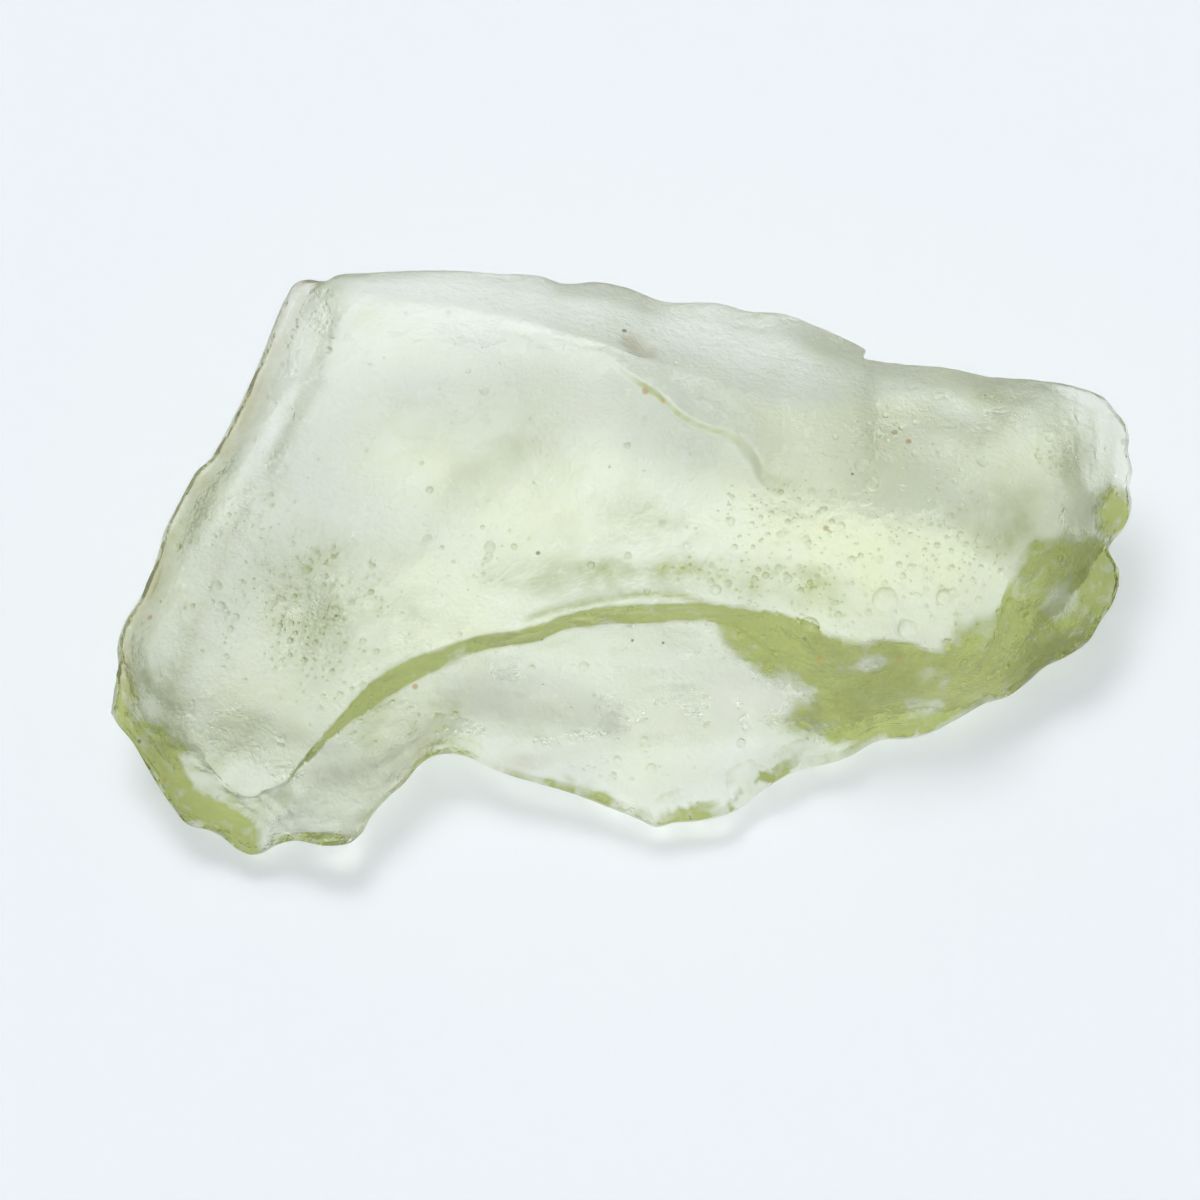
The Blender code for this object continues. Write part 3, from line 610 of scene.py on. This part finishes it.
# %% Centre and place
low = np.array([min(v.co[a] for v in plate.verts) for a in (0, 1)])
high = np.array([max(v.co[a] for v in plate.verts) for a in (0, 1)])
SHIFT = Vector((*(-(low + high) / 2), 0))
bmesh.ops.translate(plate, verts=plate.verts, vec=SHIFT)
stone_mesh = bpy.data.meshes.new("desert_glass_shard")
plate.to_mesh(stone_mesh)
plate.free()
stone = bpy.data.objects.new("desert_glass_shard", stone_mesh)
bpy.context.scene.collection.objects.link(stone)
uncut = bpy.data.objects.new("uncut_stone", stone_mesh.copy())
bpy.context.scene.collection.objects.link(uncut)
print("shift, mm:", [round(c / MM, 3) for c in SHIFT])


# %% [markdown]
# ## Flake scars on the top
# A few small flakes left shallow dishes: one at the right end and three along the front edge. A
# large, slightly lumpy sphere that only just reaches into the surface cuts exactly such a dish.

# %% Cutting tools
TOP_SCARS = (
    (1096, 512, 36, 0.30, None),
    (676, 806, 24, 0.22, (0.1, -0.60, 0.80)), (744, 786, 24, 0.24, (0.4, -0.50, 0.75)),
    (786, 762, 22, 0.20, (0.4, -0.55, 0.75)),
)
top_normals = normals_of(top)


def surface_at(across, down):
    """The point of the top face that the picture shows at that pixel, and the way it faces."""
    gap = np.hypot(shown_x - across, shown_y - down)
    i, j = np.unravel_index(np.argmin(gap), gap.shape)
    return Vector(top[i, j]) + SHIFT, Vector(top_normals[i, j])


def ball_mesh(name, balls, fineness, lumps=0.0):
    """One mesh of spheres, each a middle and a radius, with lumps of that height in metres."""
    work = bmesh.new()
    for place_at, radius in balls:
        made = bmesh.ops.create_icosphere(work, subdivisions=fineness, radius=radius)["verts"]
        bmesh.ops.translate(work, verts=made, vec=place_at)
        if lumps:
            for vert in made:
                outward = (vert.co - Vector(place_at)).normalized()
                vert.co += outward * lumps * noise.fractal(vert.co * 1400, 0.6, 2.1, 3)
    mesh = bpy.data.meshes.new(name)
    work.to_mesh(mesh)
    work.free()
    return mesh


def cut(target, name, mesh):
    """A Boolean difference, applied at once."""
    tool = bpy.data.objects.new(name, mesh)
    bpy.context.scene.collection.objects.link(tool)
    modifier = target.modifiers.new(name, "BOOLEAN")
    modifier.operation, modifier.solver, modifier.object = "DIFFERENCE", "MANIFOLD", tool
    plain = bpy.data.meshes.new_from_object(target.evaluated_get(bpy.context.evaluated_depsgraph_get()))
    target.modifiers.remove(modifier)
    target.data = plain
    bpy.data.objects.remove(tool)
    print(name, "leaves", len(plain.polygons), "faces")


print("scars to cut on the top:", len(TOP_SCARS))


# %% Cut the scars
for number, (across, down, pixels, depth_mm, way) in enumerate(TOP_SCARS):
    point, facing = surface_at(across, down)
    if way:
        facing = Vector(way).normalized()
    reach, depth = pixels * PIXEL, depth_mm * MM
    radius = (reach * reach + depth * depth) / (2 * depth)
    ball = ball_mesh("scar", [(point + facing * (radius - depth), radius)], 5, lumps=0.09 * MM)
    cut(stone, f"scar_{number}", ball)

# %% [markdown]
# ## Large open bubbles
# The bubbles that can be told apart in the picture are placed one by one, with the diameter that
# the picture shows. Each is the lower part of a ball whose middle lies a little above the
# surface, so it is a shallow bowl with a crisp rim.

# %% Large open bubbles, each where the picture shows one
BUBBLES = (
    (885, 600, 28), (942, 597, 19), (809, 627, 20), (908, 627, 21), (946, 642, 13),
    (715, 591, 12), (490, 547, 13), (222, 610, 13), (335, 612, 12), (870, 483, 15),
    (650, 766, 12), (284, 735, 10), (238, 613, 9), (428, 490, 8), (785, 578, 10), (860, 466, 15),
    (283, 747, 9), (627, 553, 8), (530, 668, 8), (742, 742, 10), (1010, 600, 12), (1060, 560, 10),
)
BUBBLE_RISE = 0.45             # how far a bubble's middle lies above the surface, in radii
for number, (across, down, pixels) in enumerate(BUBBLES):
    point, facing = surface_at(across, down)
    radius = pixels * PIXEL / 2 / math.sqrt(1 - BUBBLE_RISE ** 2)
    middle_at = point + facing * radius * BUBBLE_RISE
    fineness = 4 if pixels > 15 else 3
    cut(stone, f"bubble_{number}", ball_mesh("bubble", [(middle_at, radius)], fineness, lumps=0.012 * MM))

# %% [markdown]
# ## The flat below
# A worn belly has a flat on which the stone lies still. A block whose top is the table takes away
# everything that would reach below it.

# %% The flat that it rests on
table_block = bmesh.new()
bmesh.ops.create_cube(table_block, size=1)
bmesh.ops.scale(table_block, verts=table_block.verts, vec=(2 * LENGTH, 2 * LENGTH, 0.25 * LENGTH))
bmesh.ops.translate(table_block, verts=table_block.verts, vec=(0, 0, -0.125 * LENGTH))
table_mesh = bpy.data.meshes.new("table_block")
table_block.to_mesh(table_mesh)
table_block.free()
cut(stone, "table_block", table_mesh)

# %% [markdown]
# ## Zones on the stone
# Each zone is a number for every point of the two sheets. A point of the stone takes the number of
# the nearest point of the sheets. The numbers are stored as named attributes, which both Geometry
# Nodes and the material can read. The first one says where the bubble pits go.

# %% Where the pits, the crust and the yellow glass are
ROUGH_SPOTS = (
    (1.0, 300, 620, 130, 100, -20), (0.8, 250, 540, 80, 60, 0), (0.8, 350, 700, 60, 50, 0),
    (1.0, 800, 560, 170, 110, 0), (1.0, 930, 560, 90, 110, 0), (0.7, 900, 460, 110, 60, 0),
    (1.0, 830, 612, 110, 30, 8), (0.6, 1000, 650, 80, 60, 0), (0.5, 640, 760, 110, 40, 15),
    (0.5, 420, 740, 60, 50, 0), (0.35, 480, 560, 80, 50, 0), (0.7, 1075, 440, 50, 60, 0),
)
pitted = np.clip(spots(ROUGH_SPOTS) * (0.8 + 1.2 * patches + 1.2 * flecks) + 0.02, 0, 1)
pitted = pitted * ramp(near_edge, 0.4, 0.0)
CRUST_SPOTS = (
    (1.0, 790, 600, 130, 24, -8), (1.0, 920, 600, 100, 60, 0), (0.6, 830, 520, 140, 80, 0),
    (0.8, 500, 705, 120, 30, -10), (0.9, 640, 760, 120, 40, 12), (0.6, 260, 570, 80, 70, 0),
    (0.7, 1075, 440, 60, 70, 0), (0.8, 620, 675, 110, 22, -3), (0.6, 350, 790, 50, 50, 0),
    (0.6, 180, 660, 30, 60, 0),
)
crust = np.clip(spots(CRUST_SPOTS) * (1 + 0.6 * patches), 0, 1)
crust = np.maximum(crust, ramp(V, BACK - 0.01, BACK + 0.03) * 0.8)
YELLOW_SPOTS = (
    (0.9, 880, 480, 260, 170, 0), (0.5, 540, 460, 230, 150, 0), (0.4, 400, 400, 160, 120, 0),
    (0.5, 420, 600, 130, 80, -20), (0.4, 400, 720, 90, 80, 0), (0.45, 250, 620, 190, 190, 0),
)
clouds = noise_field(top, 190, 41.0, 3)
yellow = np.clip(spots(YELLOW_SPOTS) * (1 + 0.5 * clouds) + 0.15 * ramp(clouds, 0.0, 0.4), 0, 1)
yellow *= 1 - ramp(V, BACK - 0.03, BACK + 0.02)
clay = np.maximum(clay_pit, 0.45 * ramp(U, 0.045, 0.0) * ramp(V, 0.2, 0.45))
clay = np.clip(np.maximum(clay, 0.35 * spot(500, 770, 110, 14, 12)) * (1 + 0.7 * patches), 0, 1)


class Finder:
    """Finds, for a point of the stone, the nearest point of the two sheets."""

    def __init__(self):
        points = np.concatenate([top.reshape(-1, 3), under.reshape(-1, 3)])
        self.tree = KDTree(len(points))
        for index, point in enumerate(points):
            self.tree.insert(Vector(point) + SHIFT, index)
        self.tree.balance()

    def nearest(self, mesh):
        """For each point of the mesh, the number of the nearest point of the sheets."""
        return np.array([self.tree.find(vert.co)[1] for vert in mesh.vertices])


def store(mesh, name, values):
    """Stores one number for each point of the mesh, under that name."""
    mesh.attributes.new(name, "FLOAT", "POINT").data.foreach_set("value", values.astype(np.float32))


def keep(mesh, found, name, on_top, below):
    """Stores a zone: its own number on the top face, one number all over the underside."""
    store(mesh, name, np.concatenate([on_top.ravel(), np.full(on_top.size, below)])[found])


finder = Finder()
keep(uncut.data, finder.nearest(uncut.data), "pitted", pitted, 0.03)
print("pitted share of the top:", round(float(pitted.mean()), 3))

# %% [markdown]
# ## Bubble pits
# The melt was full of gas bubbles. Where the surface broke or wore through one, a small round pit is
# left. Each pit is a ball cut out of the glass. Geometry Nodes scatter the balls: points are thrown
# on the surface no closer than a set distance, more of them where the zone "pitted" is high, a ball
# of random size is put on each, and a Boolean takes them all away. The points are thrown on the
# stone as it was before the cuts, because its faces keep their order, so every run gives the same
# pits.

# %% A node tree that cuts pits
def pit_tree(name):
    """A node tree: stone in, pitted stone out, with named inputs for the sizes and the seed."""
    tree = bpy.data.node_groups.new(name, "GeometryNodeTree")
    face = tree.interface
    face.new_socket("Stone", in_out="INPUT", socket_type="NodeSocketGeometry")
    face.new_socket("Uncut", in_out="INPUT", socket_type="NodeSocketObject")
    for label in ("Spacing", "Smallest", "Largest", "Crowding", "Rise"):
        face.new_socket(label, in_out="INPUT", socket_type="NodeSocketFloat")
    for label in ("Fineness", "Seed"):
        face.new_socket(label, in_out="INPUT", socket_type="NodeSocketInt")
    face.new_socket("Glass", in_out="INPUT", socket_type="NodeSocketMaterial")
    face.new_socket("Pitted", in_out="OUTPUT", socket_type="NodeSocketGeometry")
    node = tree.nodes.new
    link = tree.links.new
    start, end = node("NodeGroupInput"), node("NodeGroupOutput")

    uncut_shape = node("GeometryNodeObjectInfo")
    link(start.outputs["Uncut"], uncut_shape.inputs["Object"])
    zone = node("GeometryNodeInputNamedAttribute")
    zone.data_type = "FLOAT"
    zone.inputs["Name"].default_value = "pitted"
    scatter = node("GeometryNodeDistributePointsOnFaces")
    scatter.distribute_method = "POISSON"
    link(uncut_shape.outputs["Geometry"], scatter.inputs["Mesh"])
    link(start.outputs["Spacing"], scatter.inputs["Distance Min"])
    link(start.outputs["Crowding"], scatter.inputs["Density Max"])
    link(zone.outputs["Attribute"], scatter.inputs["Density Factor"])
    link(start.outputs["Seed"], scatter.inputs["Seed"])

    chance = node("FunctionNodeRandomValue")
    chance.data_type = "FLOAT"
    link(start.outputs["Seed"], chance.inputs["Seed"])
    square = node("ShaderNodeMath")
    square.operation = "POWER"
    square.inputs[1].default_value = 2.0
    link(chance.outputs[1], square.inputs[0])
    radius = node("ShaderNodeMapRange")
    link(square.outputs[0], radius.inputs["Value"])
    link(start.outputs["Smallest"], radius.inputs["To Min"])
    link(start.outputs["Largest"], radius.inputs["To Max"])

    rise = node("ShaderNodeMath")
    rise.operation = "MULTIPLY"
    link(radius.outputs["Result"], rise.inputs[0])
    link(start.outputs["Rise"], rise.inputs[1])
    offset = node("ShaderNodeVectorMath")
    offset.operation = "SCALE"
    link(scatter.outputs["Normal"], offset.inputs[0])
    link(rise.outputs[0], offset.inputs["Scale"])

    ball = node("GeometryNodeMeshIcoSphere")
    link(start.outputs["Fineness"], ball.inputs["Subdivisions"])
    ball.inputs["Radius"].default_value = 1.0
    place_balls = node("GeometryNodeInstanceOnPoints")
    link(scatter.outputs["Points"], place_balls.inputs["Points"])
    link(ball.outputs["Mesh"], place_balls.inputs["Instance"])
    link(radius.outputs["Result"], place_balls.inputs["Scale"])
    link(scatter.outputs["Rotation"], place_balls.inputs["Rotation"])
    lift = node("GeometryNodeTranslateInstances")
    link(place_balls.outputs["Instances"], lift.inputs["Instances"])
    lift.inputs["Local Space"].default_value = False
    link(offset.outputs["Vector"], lift.inputs["Translation"])

    balls = node("GeometryNodeRealizeInstances")
    link(lift.outputs["Instances"], balls.inputs["Geometry"])
    take_away = node("GeometryNodeMeshBoolean")
    take_away.operation = "DIFFERENCE"
    take_away.solver = "MANIFOLD"
    link(start.outputs["Stone"], take_away.inputs["Mesh 1"])
    link(balls.outputs["Geometry"], take_away.inputs["Mesh 2"])
    plain = node("GeometryNodeRealizeInstances")
    link(take_away.outputs["Mesh"], plain.inputs["Geometry"])
    finish = node("GeometryNodeSetMaterial")
    link(plain.outputs["Geometry"], finish.inputs["Geometry"])
    link(start.outputs["Glass"], finish.inputs["Material"])
    link(finish.outputs["Geometry"], end.inputs["Pitted"])
    return tree


tree = pit_tree("cut_bubble_pits")
print("nodes in the tree:", len(tree.nodes))


# %% [markdown]
# ## Three sizes of pit
# Large open bubbles are rare, pinholes are many. Each size is a pass of the same node tree, and is
# applied before the next one.

# %% Cut three sizes of pit
glass = bpy.data.materials.new("desert_glass")
PIT_LAYERS = (
    # spacing, smallest and largest radius in mm, balls a square mm where the zone is 1, rise,
    # fineness of the ball, seed
    ("bubbles", 0.9, 0.14, 0.32, 2.0, 0.55, 2, 3),
    ("pits", 0.38, 0.06, 0.20, 9.0, 0.40, 2, 11),
    ("pinholes", 0.26, 0.04, 0.08, 8.0, 0.3, 1, 29),
)
sockets = {item.name: item.identifier for item in tree.interface.items_tree if item.in_out == "INPUT"}
for label, spacing, smallest, largest, crowding, rise, fineness, seed in PIT_LAYERS:
    modifier = stone.modifiers.new(label, "NODES")
    modifier.node_group = tree
    for name, value in (("Spacing", spacing * MM), ("Smallest", smallest * MM),
                        ("Largest", largest * MM), ("Crowding", crowding / MM ** 2),
                        ("Rise", rise), ("Fineness", fineness), ("Seed", seed),
                        ("Glass", glass), ("Uncut", uncut)):
        modifier[sockets[name]] = value
    before = len(stone.data.polygons)
    plain = bpy.data.meshes.new_from_object(stone.evaluated_get(bpy.context.evaluated_depsgraph_get()))
    stone.modifiers.remove(modifier)
    stone.data = plain
    print(label, "took the stone from", before, "to", len(plain.polygons), "faces")

# %% [markdown]
# ## The same view as the picture
# The camera looks down at 62 degrees from far away, so that lines hardly run together. It aims at the
# place that the middle of the picture shows.

# %% Camera
PICTURE_SIDE = 1200             # pixels
AIM_HEIGHT = 0.005
DISTANCE = 0.6
aim = Vector(place(PICTURE_SIDE / 2, PICTURE_SIDE / 2, AIM_HEIGHT / MM)) + SHIFT
towards = Vector((0, -math.cos(VIEW_ELEVATION), math.sin(VIEW_ELEVATION)))
camera_data = bpy.data.cameras.new("camera")
camera_data.lens = camera_data.sensor_width * DISTANCE / (PICTURE_SIDE * PIXEL)
camera_data.clip_start, camera_data.clip_end = 0.01, 10
camera = bpy.data.objects.new("camera", camera_data)
bpy.context.scene.collection.objects.link(camera)
camera.location = aim + towards * DISTANCE
camera.rotation_euler = (-towards).to_track_quat("-Z", "Y").to_euler()
bpy.context.scene.camera = camera
print("lens, mm:", round(camera_data.lens, 1))

# %% [markdown]
# ## Table and light
# The stone lies on a pale, softly glowing table, like a sheet on a light box: that keeps the shadows
# faint, and light comes up through the glass. The room adds an even light from all sides and one
# brighter patch behind and to the left, which gives the narrow shadow at the front and right.

# %% A pale table that glows a little
FLOOR_Z = -0.0002
floor_mesh = bpy.data.meshes.new("table_top")
floor_mesh.from_pydata([(x, y, FLOOR_Z) for x, y in ((-1, -1), (1, -1), (1, 1), (-1, 1))], [], [(0, 1, 2, 3)])
table_top = bpy.data.objects.new("table_top", floor_mesh)
bpy.context.scene.collection.objects.link(table_top)
pale = bpy.data.materials.new("pale_table")
pale.use_nodes = True
paint = pale.node_tree.nodes["Principled BSDF"]
paint.inputs["Base Color"].default_value = (0.80, 0.82, 0.845, 1)
paint.inputs["Roughness"].default_value = 0.7
paint.inputs["Emission Color"].default_value = (0.91, 0.97, 1.0, 1)
paint.inputs["Emission Strength"].default_value = 0.35
pale.cycles.emission_sampling = "NONE"
floor_mesh.materials.append(pale)
print("table at, mm:", FLOOR_Z / MM)

# %% [markdown]
# ## The room
# A lamp with a soft rim, made as a bright round patch of the surroundings. It is as smooth as a
# large lamp behind cloth, and costs less time than one.

# %% Soft room light with one brighter patch
LAMP_WAY = (-0.20, 0.42, 0.86)          # from the stone to the middle of the patch
LAMP_CORE, LAMP_EDGE = 7, 18            # degrees: fully bright, and where it has faded out
ROOM_LIGHT, LAMP_LIGHT = 0.38, 6.7
world = bpy.data.worlds.new("studio")
world.use_nodes = True
sky, sky_link = world.node_tree.nodes, world.node_tree.links.new
toward_lamp = sky.new("ShaderNodeVectorMath")
toward_lamp.operation = "DOT_PRODUCT"
toward_lamp.inputs[1].default_value = Vector(LAMP_WAY).normalized()
sky_link(sky.new("ShaderNodeTexCoord").outputs["Generated"], toward_lamp.inputs[0])
patch = sky.new("ShaderNodeMapRange")
patch.interpolation_type = "SMOOTHSTEP"
patch.inputs["From Min"].default_value = math.cos(math.radians(LAMP_EDGE))
patch.inputs["From Max"].default_value = math.cos(math.radians(LAMP_CORE))
patch.inputs["To Min"].default_value = ROOM_LIGHT
patch.inputs["To Max"].default_value = LAMP_LIGHT
sky_link(toward_lamp.outputs["Value"], patch.inputs["Value"])
sky["Background"].inputs["Color"].default_value = (0.95, 0.97, 1.0, 1)
sky_link(patch.outputs["Result"], sky["Background"].inputs["Strength"])
bpy.context.scene.world = world
world.cycles.sampling_method = "NONE"
print("lamp patch, degrees:", LAMP_EDGE)

# %% [markdown]
# ## How light is followed
# Light crosses several rough faces on its way through the stone, so many bounces are allowed, and
# nothing is blurred on the way, because that would lose light inside the glass. Colours are shown
# as they are, without a film look.

# %% Light paths
view = bpy.context.scene.view_settings
view.view_transform = "Standard"
paths = bpy.context.scene.cycles
paths.max_bounces, paths.transmission_bounces, paths.glossy_bounces = 14, 12, 6
paths.blur_glossy = 0
paths.use_adaptive_sampling = True
paths.adaptive_threshold = 0.03
print("bounces through glass:", paths.transmission_bounces)

# %% [markdown]
# ## Zones on the cut mesh
# The cuts made new points, so every zone that the glass needs is looked up now. Two more are
# measured on the mesh itself: how steep a face is, which tints steep faces olive as painted shade,
# darker than the tops as if less light reached them, and partly because steep breaks are fresher;
# and whether a point lies in a bubble pit, which tints the pits olive as painted shade.

# %% All zones on the finished mesh
PIT_STARTS = np.array((0.006, 0.025))      # mm below the sheet, where a pit begins
SCAR_STARTS = np.array((0.20, 0.08))       # mm, deeper than any pit: a scar or the flat
bpy.data.objects.remove(uncut)
found = finder.nearest(stone.data)
for name, on_top, on_underside in (("pitted", pitted, 0.03), ("fresh", fresh, 0.10),
                                   ("crust", crust, 0.3), ("clay", clay, 0.0),
                                   ("yellow", yellow, 0.2), ("below", np.zeros_like(fresh), 1.0)):
    keep(stone.data, found, name, on_top, on_underside)


def on_both(zone):
    """A zone of the sheets, looked up for each point of the stone."""
    return np.tile(zone.ravel(), 2)[found]


def per_point(collection, what):
    """Three numbers for each point of the stone, as rows."""
    flat = np.empty(len(stone.data.vertices) * 3, dtype=np.float32)
    collection.foreach_get(what, flat)
    return flat.reshape(-1, 3)


sheet = np.concatenate([top.reshape(-1, 3), under.reshape(-1, 3)])[found] + np.array(SHIFT)
sheet_facing = np.concatenate([top_normals.reshape(-1, 3), -normals_of(under).reshape(-1, 3)])[found]
depth = -np.einsum("ij,ij->i", per_point(stone.data.vertices, "co") - sheet, sheet_facing)
# painted shade: points inside a bubble pit are tinted olive, darker than the skin around them
pit_shade = ramp(depth, *PIT_STARTS * MM) * ramp(depth, *SCAR_STARTS * MM)
pit_shade = pit_shade * on_both(ramp(near_edge, 0.5, 0.1))
store(stone.data, "pit_shade", pit_shade)
print("points inside pits:", int((pit_shade > 0.5).sum()))
facing_up = per_point(stone.data.vertex_normals, "vector")[:, 2]
back_rim = on_both(ramp(V, 0.93, 0.985))
broken = on_both(np.clip(0.75 + patches + 0.6 * flecks, 0, 1))
# painted shade: steep faces are tinted olive, darker than the tops as if less light fell on them, and partly
# fresher breaks
steep_fresh_and_shade = ramp(1 - np.abs(facing_up), 0.15, 0.65) * (1 - 0.85 * back_rim) * broken
store(stone.data, "steep_fresh_and_shade", steep_fresh_and_shade)
print("zones kept on", len(found), "points")

# %% [markdown]
# ## Desert glass
# It is nearly pure silica glass, so it bends light by 1.46 and lets all of it through. In the real
# stone the colour is in the body. Here the body takes away only a little blue, by absorption, and
# most of the yellow-green, and all of the olive of the fresh breaks, is a tint on the surface,
# because the zones differ far more than the thickness does. The worn skin is satin.

# %% Body of the glass
GLASS_IOR = 1.46
BODY_GREEN = (0.64, 0.74, 0.22)         # the share of each colour that the body spares
BODY_DENSITY = 12                       # how strongly it takes the rest, a metre
glass.use_nodes = True
nodes, links = glass.node_tree.nodes, glass.node_tree.links
shader = nodes["Principled BSDF"]
shader.inputs["IOR"].default_value = GLASS_IOR
shader.inputs["Transmission Weight"].default_value = 1.0
masks = {}
for name in ("fresh", "steep_fresh_and_shade", "crust", "clay", "yellow", "below", "pit_shade", "pitted"):
    zone = nodes.new("ShaderNodeAttribute")
    zone.attribute_name = name
    masks[name] = zone.outputs["Fac"]
absorb = nodes.new("ShaderNodeVolumeAbsorption")
absorb.inputs["Color"].default_value = (*BODY_GREEN, 1)
absorb.inputs["Density"].default_value = BODY_DENSITY
links.new(absorb.outputs["Volume"], nodes["Material Output"].inputs["Volume"])
print("zones read by the glass:", len(masks))


# %% Small node helpers
def math_node(operation, *values, clamp=False):
    """A Math node. Each value is a number or another node's output."""
    made = nodes.new("ShaderNodeMath")
    made.operation, made.use_clamp = operation, clamp
    for socket, value in zip(made.inputs, values):
        if isinstance(value, (int, float)):
            socket.default_value = value
        else:
            links.new(value, socket)
    return made.outputs[0]


def blend(amount, first, second):
    """A colour mix. Each colour is three numbers or another node's output."""
    made = nodes.new("ShaderNodeMix")
    made.data_type = "RGBA"
    links.new(amount, made.inputs[0])
    for socket, value in ((made.inputs[6], first), (made.inputs[7], second)):
        if isinstance(value, tuple):
            socket.default_value = (*value, 1)
        else:
            links.new(value, socket)
    return made.outputs[2]


place_in_stone = nodes.new("ShaderNodeTexCoord").outputs["Object"]


def speckle(scale, detail):
    """Noise over the stone, that many bumps a metre."""
    made = nodes.new("ShaderNodeTexNoise")
    made.inputs["Scale"].default_value = scale
    made.inputs["Detail"].default_value = detail
    links.new(place_in_stone, made.inputs["Vector"])
    return made.outputs["Fac"]


# %% [markdown]
# ## Specks, dust and clay
# A few grains of rusty sand sit in the pits and along the step, and there are some tiny dark
# inclusions. Each is a small round spot of colour at its own place on the stone.

# %% Specks and dots
def dots(rows):
    """A mask of small round specks, each a pixel across and down and a radius in pixels."""
    mask = None
    for across, down, pixels in rows:
        point, _ = surface_at(across, down)
        gap = nodes.new("ShaderNodeVectorMath")
        gap.operation = "DISTANCE"
        gap.inputs[1].default_value = point
        links.new(place_in_stone, gap.inputs[0])
        inside = math_node("MULTIPLY_ADD", gap.outputs["Value"], -2 / (pixels * PIXEL), 2.0, clamp=True)
        mask = math_node("MAXIMUM", mask, inside) if mask else inside
    return mask


ORANGE_SPECKS = ((645, 390, 5), (664, 400, 4), (895, 432, 4), (908, 440, 4), (827, 528, 4), (820, 661, 5),
                 (898, 655, 4), (414, 687, 4), (787, 578, 3), (150, 617, 4), (165, 780, 3))
DARK_DOTS = ((537, 554, 3), (630, 640, 2), (665, 643, 2), (803, 640, 3), (140, 741, 3), (851, 475, 2),
              (336, 615, 2.5), (627, 327, 3.5), (540, 640, 2))
rusty, dark = dots(ORANGE_SPECKS), dots(DARK_DOTS)
print("specks and dots:", len(ORANGE_SPECKS) + len(DARK_DOTS))

# %% [markdown]
# ## Colour and grain of the skin
# Fresh glass is olive, and the same olive is painted shade on steep faces and in the pits. Worn
# glass is nearly white, yellower where the piece is thick, with soft cloudy patches and fine darker
# grains. Noises give the patches and grains; the zones say where.

# %% Colour
WORN_WHITE, WORN_YELLOW = (1.0, 1.0, 1.0), (0.985, 0.995, 0.73)
CLOUDY_GREEN, GRAIN_GREEN = (0.88, 0.92, 0.66), (0.72, 0.78, 0.44)
# olive of the fresh breaks, also used as painted shade on steep faces and in the pits
FRESH_OLIVE_AND_SHADE = (0.30, 0.35, 0.055)
CLAY_BROWN, RUST_ORANGE, DARK_BROWN = (0.50, 0.38, 0.22), (0.42, 0.20, 0.03), (0.03, 0.025, 0.015)
mottle, coarse, fine = speckle(380, 6), speckle(2100, 4), speckle(5200, 3)
# clear: fresh glass, plus painted shade on steep faces and in the pits
clear = math_node("MULTIPLY_ADD", masks["steep_fresh_and_shade"], 0.5, masks["fresh"])
clear = math_node("MULTIPLY_ADD", masks["pit_shade"], 0.17, clear)
clear = math_node("MULTIPLY", clear, math_node("MULTIPLY_ADD", coarse, 0.9, 0.5), clamp=True)
cloudy = math_node("MULTIPLY_ADD", mottle, 5.0, -2.5, clamp=True)
worn = blend(masks["yellow"], WORN_WHITE, WORN_YELLOW)
worn = blend(math_node("MULTIPLY", cloudy, 0.26), worn, CLOUDY_GREEN)
grains = math_node("MULTIPLY_ADD", coarse, 6.0, -3.1, clamp=True)
fine_grains = math_node("MULTIPLY_ADD", fine, 7.0, -3.7, clamp=True)
grains = math_node("MULTIPLY_ADD", fine_grains, 0.6, grains, clamp=True)
grains = math_node("MULTIPLY", grains, math_node("MULTIPLY_ADD", masks["pitted"], 0.30, 0.08))
worn = blend(grains, worn, GRAIN_GREEN)
tint = blend(clear, worn, FRESH_OLIVE_AND_SHADE)
tint = blend(math_node("MULTIPLY", masks["clay"], 0.85), tint, CLAY_BROWN)
tint = blend(math_node("MULTIPLY", rusty, 0.85), tint, RUST_ORANGE)
tint = blend(math_node("MULTIPLY", dark, 0.9), tint, DARK_BROWN)
links.new(tint, shader.inputs["Base Color"])
print("nodes for the colour:", len(nodes))

# %% [markdown]
# ## Satin skin
# Blown sand leaves a fine matt. Fresh breaks are a little glossier, the crusted parts and the
# hidden underside are duller. The grain itself is far finer than the mesh, so it is a bump.

# %% Gloss and grain
GRAIN_HEIGHT = 0.000045
gloss = math_node("MULTIPLY_ADD", masks["fresh"], -0.06, 0.28)
gloss = math_node("MULTIPLY_ADD", masks["crust"], 0.08, gloss)
gloss = math_node("MULTIPLY_ADD", masks["below"], 0.12, gloss)
gloss = math_node("MULTIPLY_ADD", speckle(700, 3), 0.10, gloss)
links.new(math_node("SUBTRACT", gloss, 0.05, clamp=True), shader.inputs["Roughness"])
frost = math_node("MULTIPLY_ADD", masks["crust"], 3.2, 0.6)
grain = math_node("MULTIPLY_ADD", coarse, frost, fine)
bump = nodes.new("ShaderNodeBump")
bump.inputs["Strength"].default_value = 1.0
bump.inputs["Distance"].default_value = GRAIN_HEIGHT
links.new(grain, bump.inputs["Height"])
links.new(bump.outputs["Normal"], shader.inputs["Normal"])
print("grain height, mm:", GRAIN_HEIGHT / MM)

# %% Give it to the stone
SHARP_FROM = math.radians(40)
stone.data.materials.clear()
stone.data.materials.append(glass)
stone.data.shade_smooth()
stone.data.set_sharp_from_angle(angle=SHARP_FROM)
print("points:", len(stone.data.vertices))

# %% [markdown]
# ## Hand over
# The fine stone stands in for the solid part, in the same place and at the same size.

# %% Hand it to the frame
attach(stone, "root")
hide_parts("desert_glass")
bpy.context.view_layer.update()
stone.data.calc_loop_triangles()
print("triangles:", len(stone.data.loop_triangles))
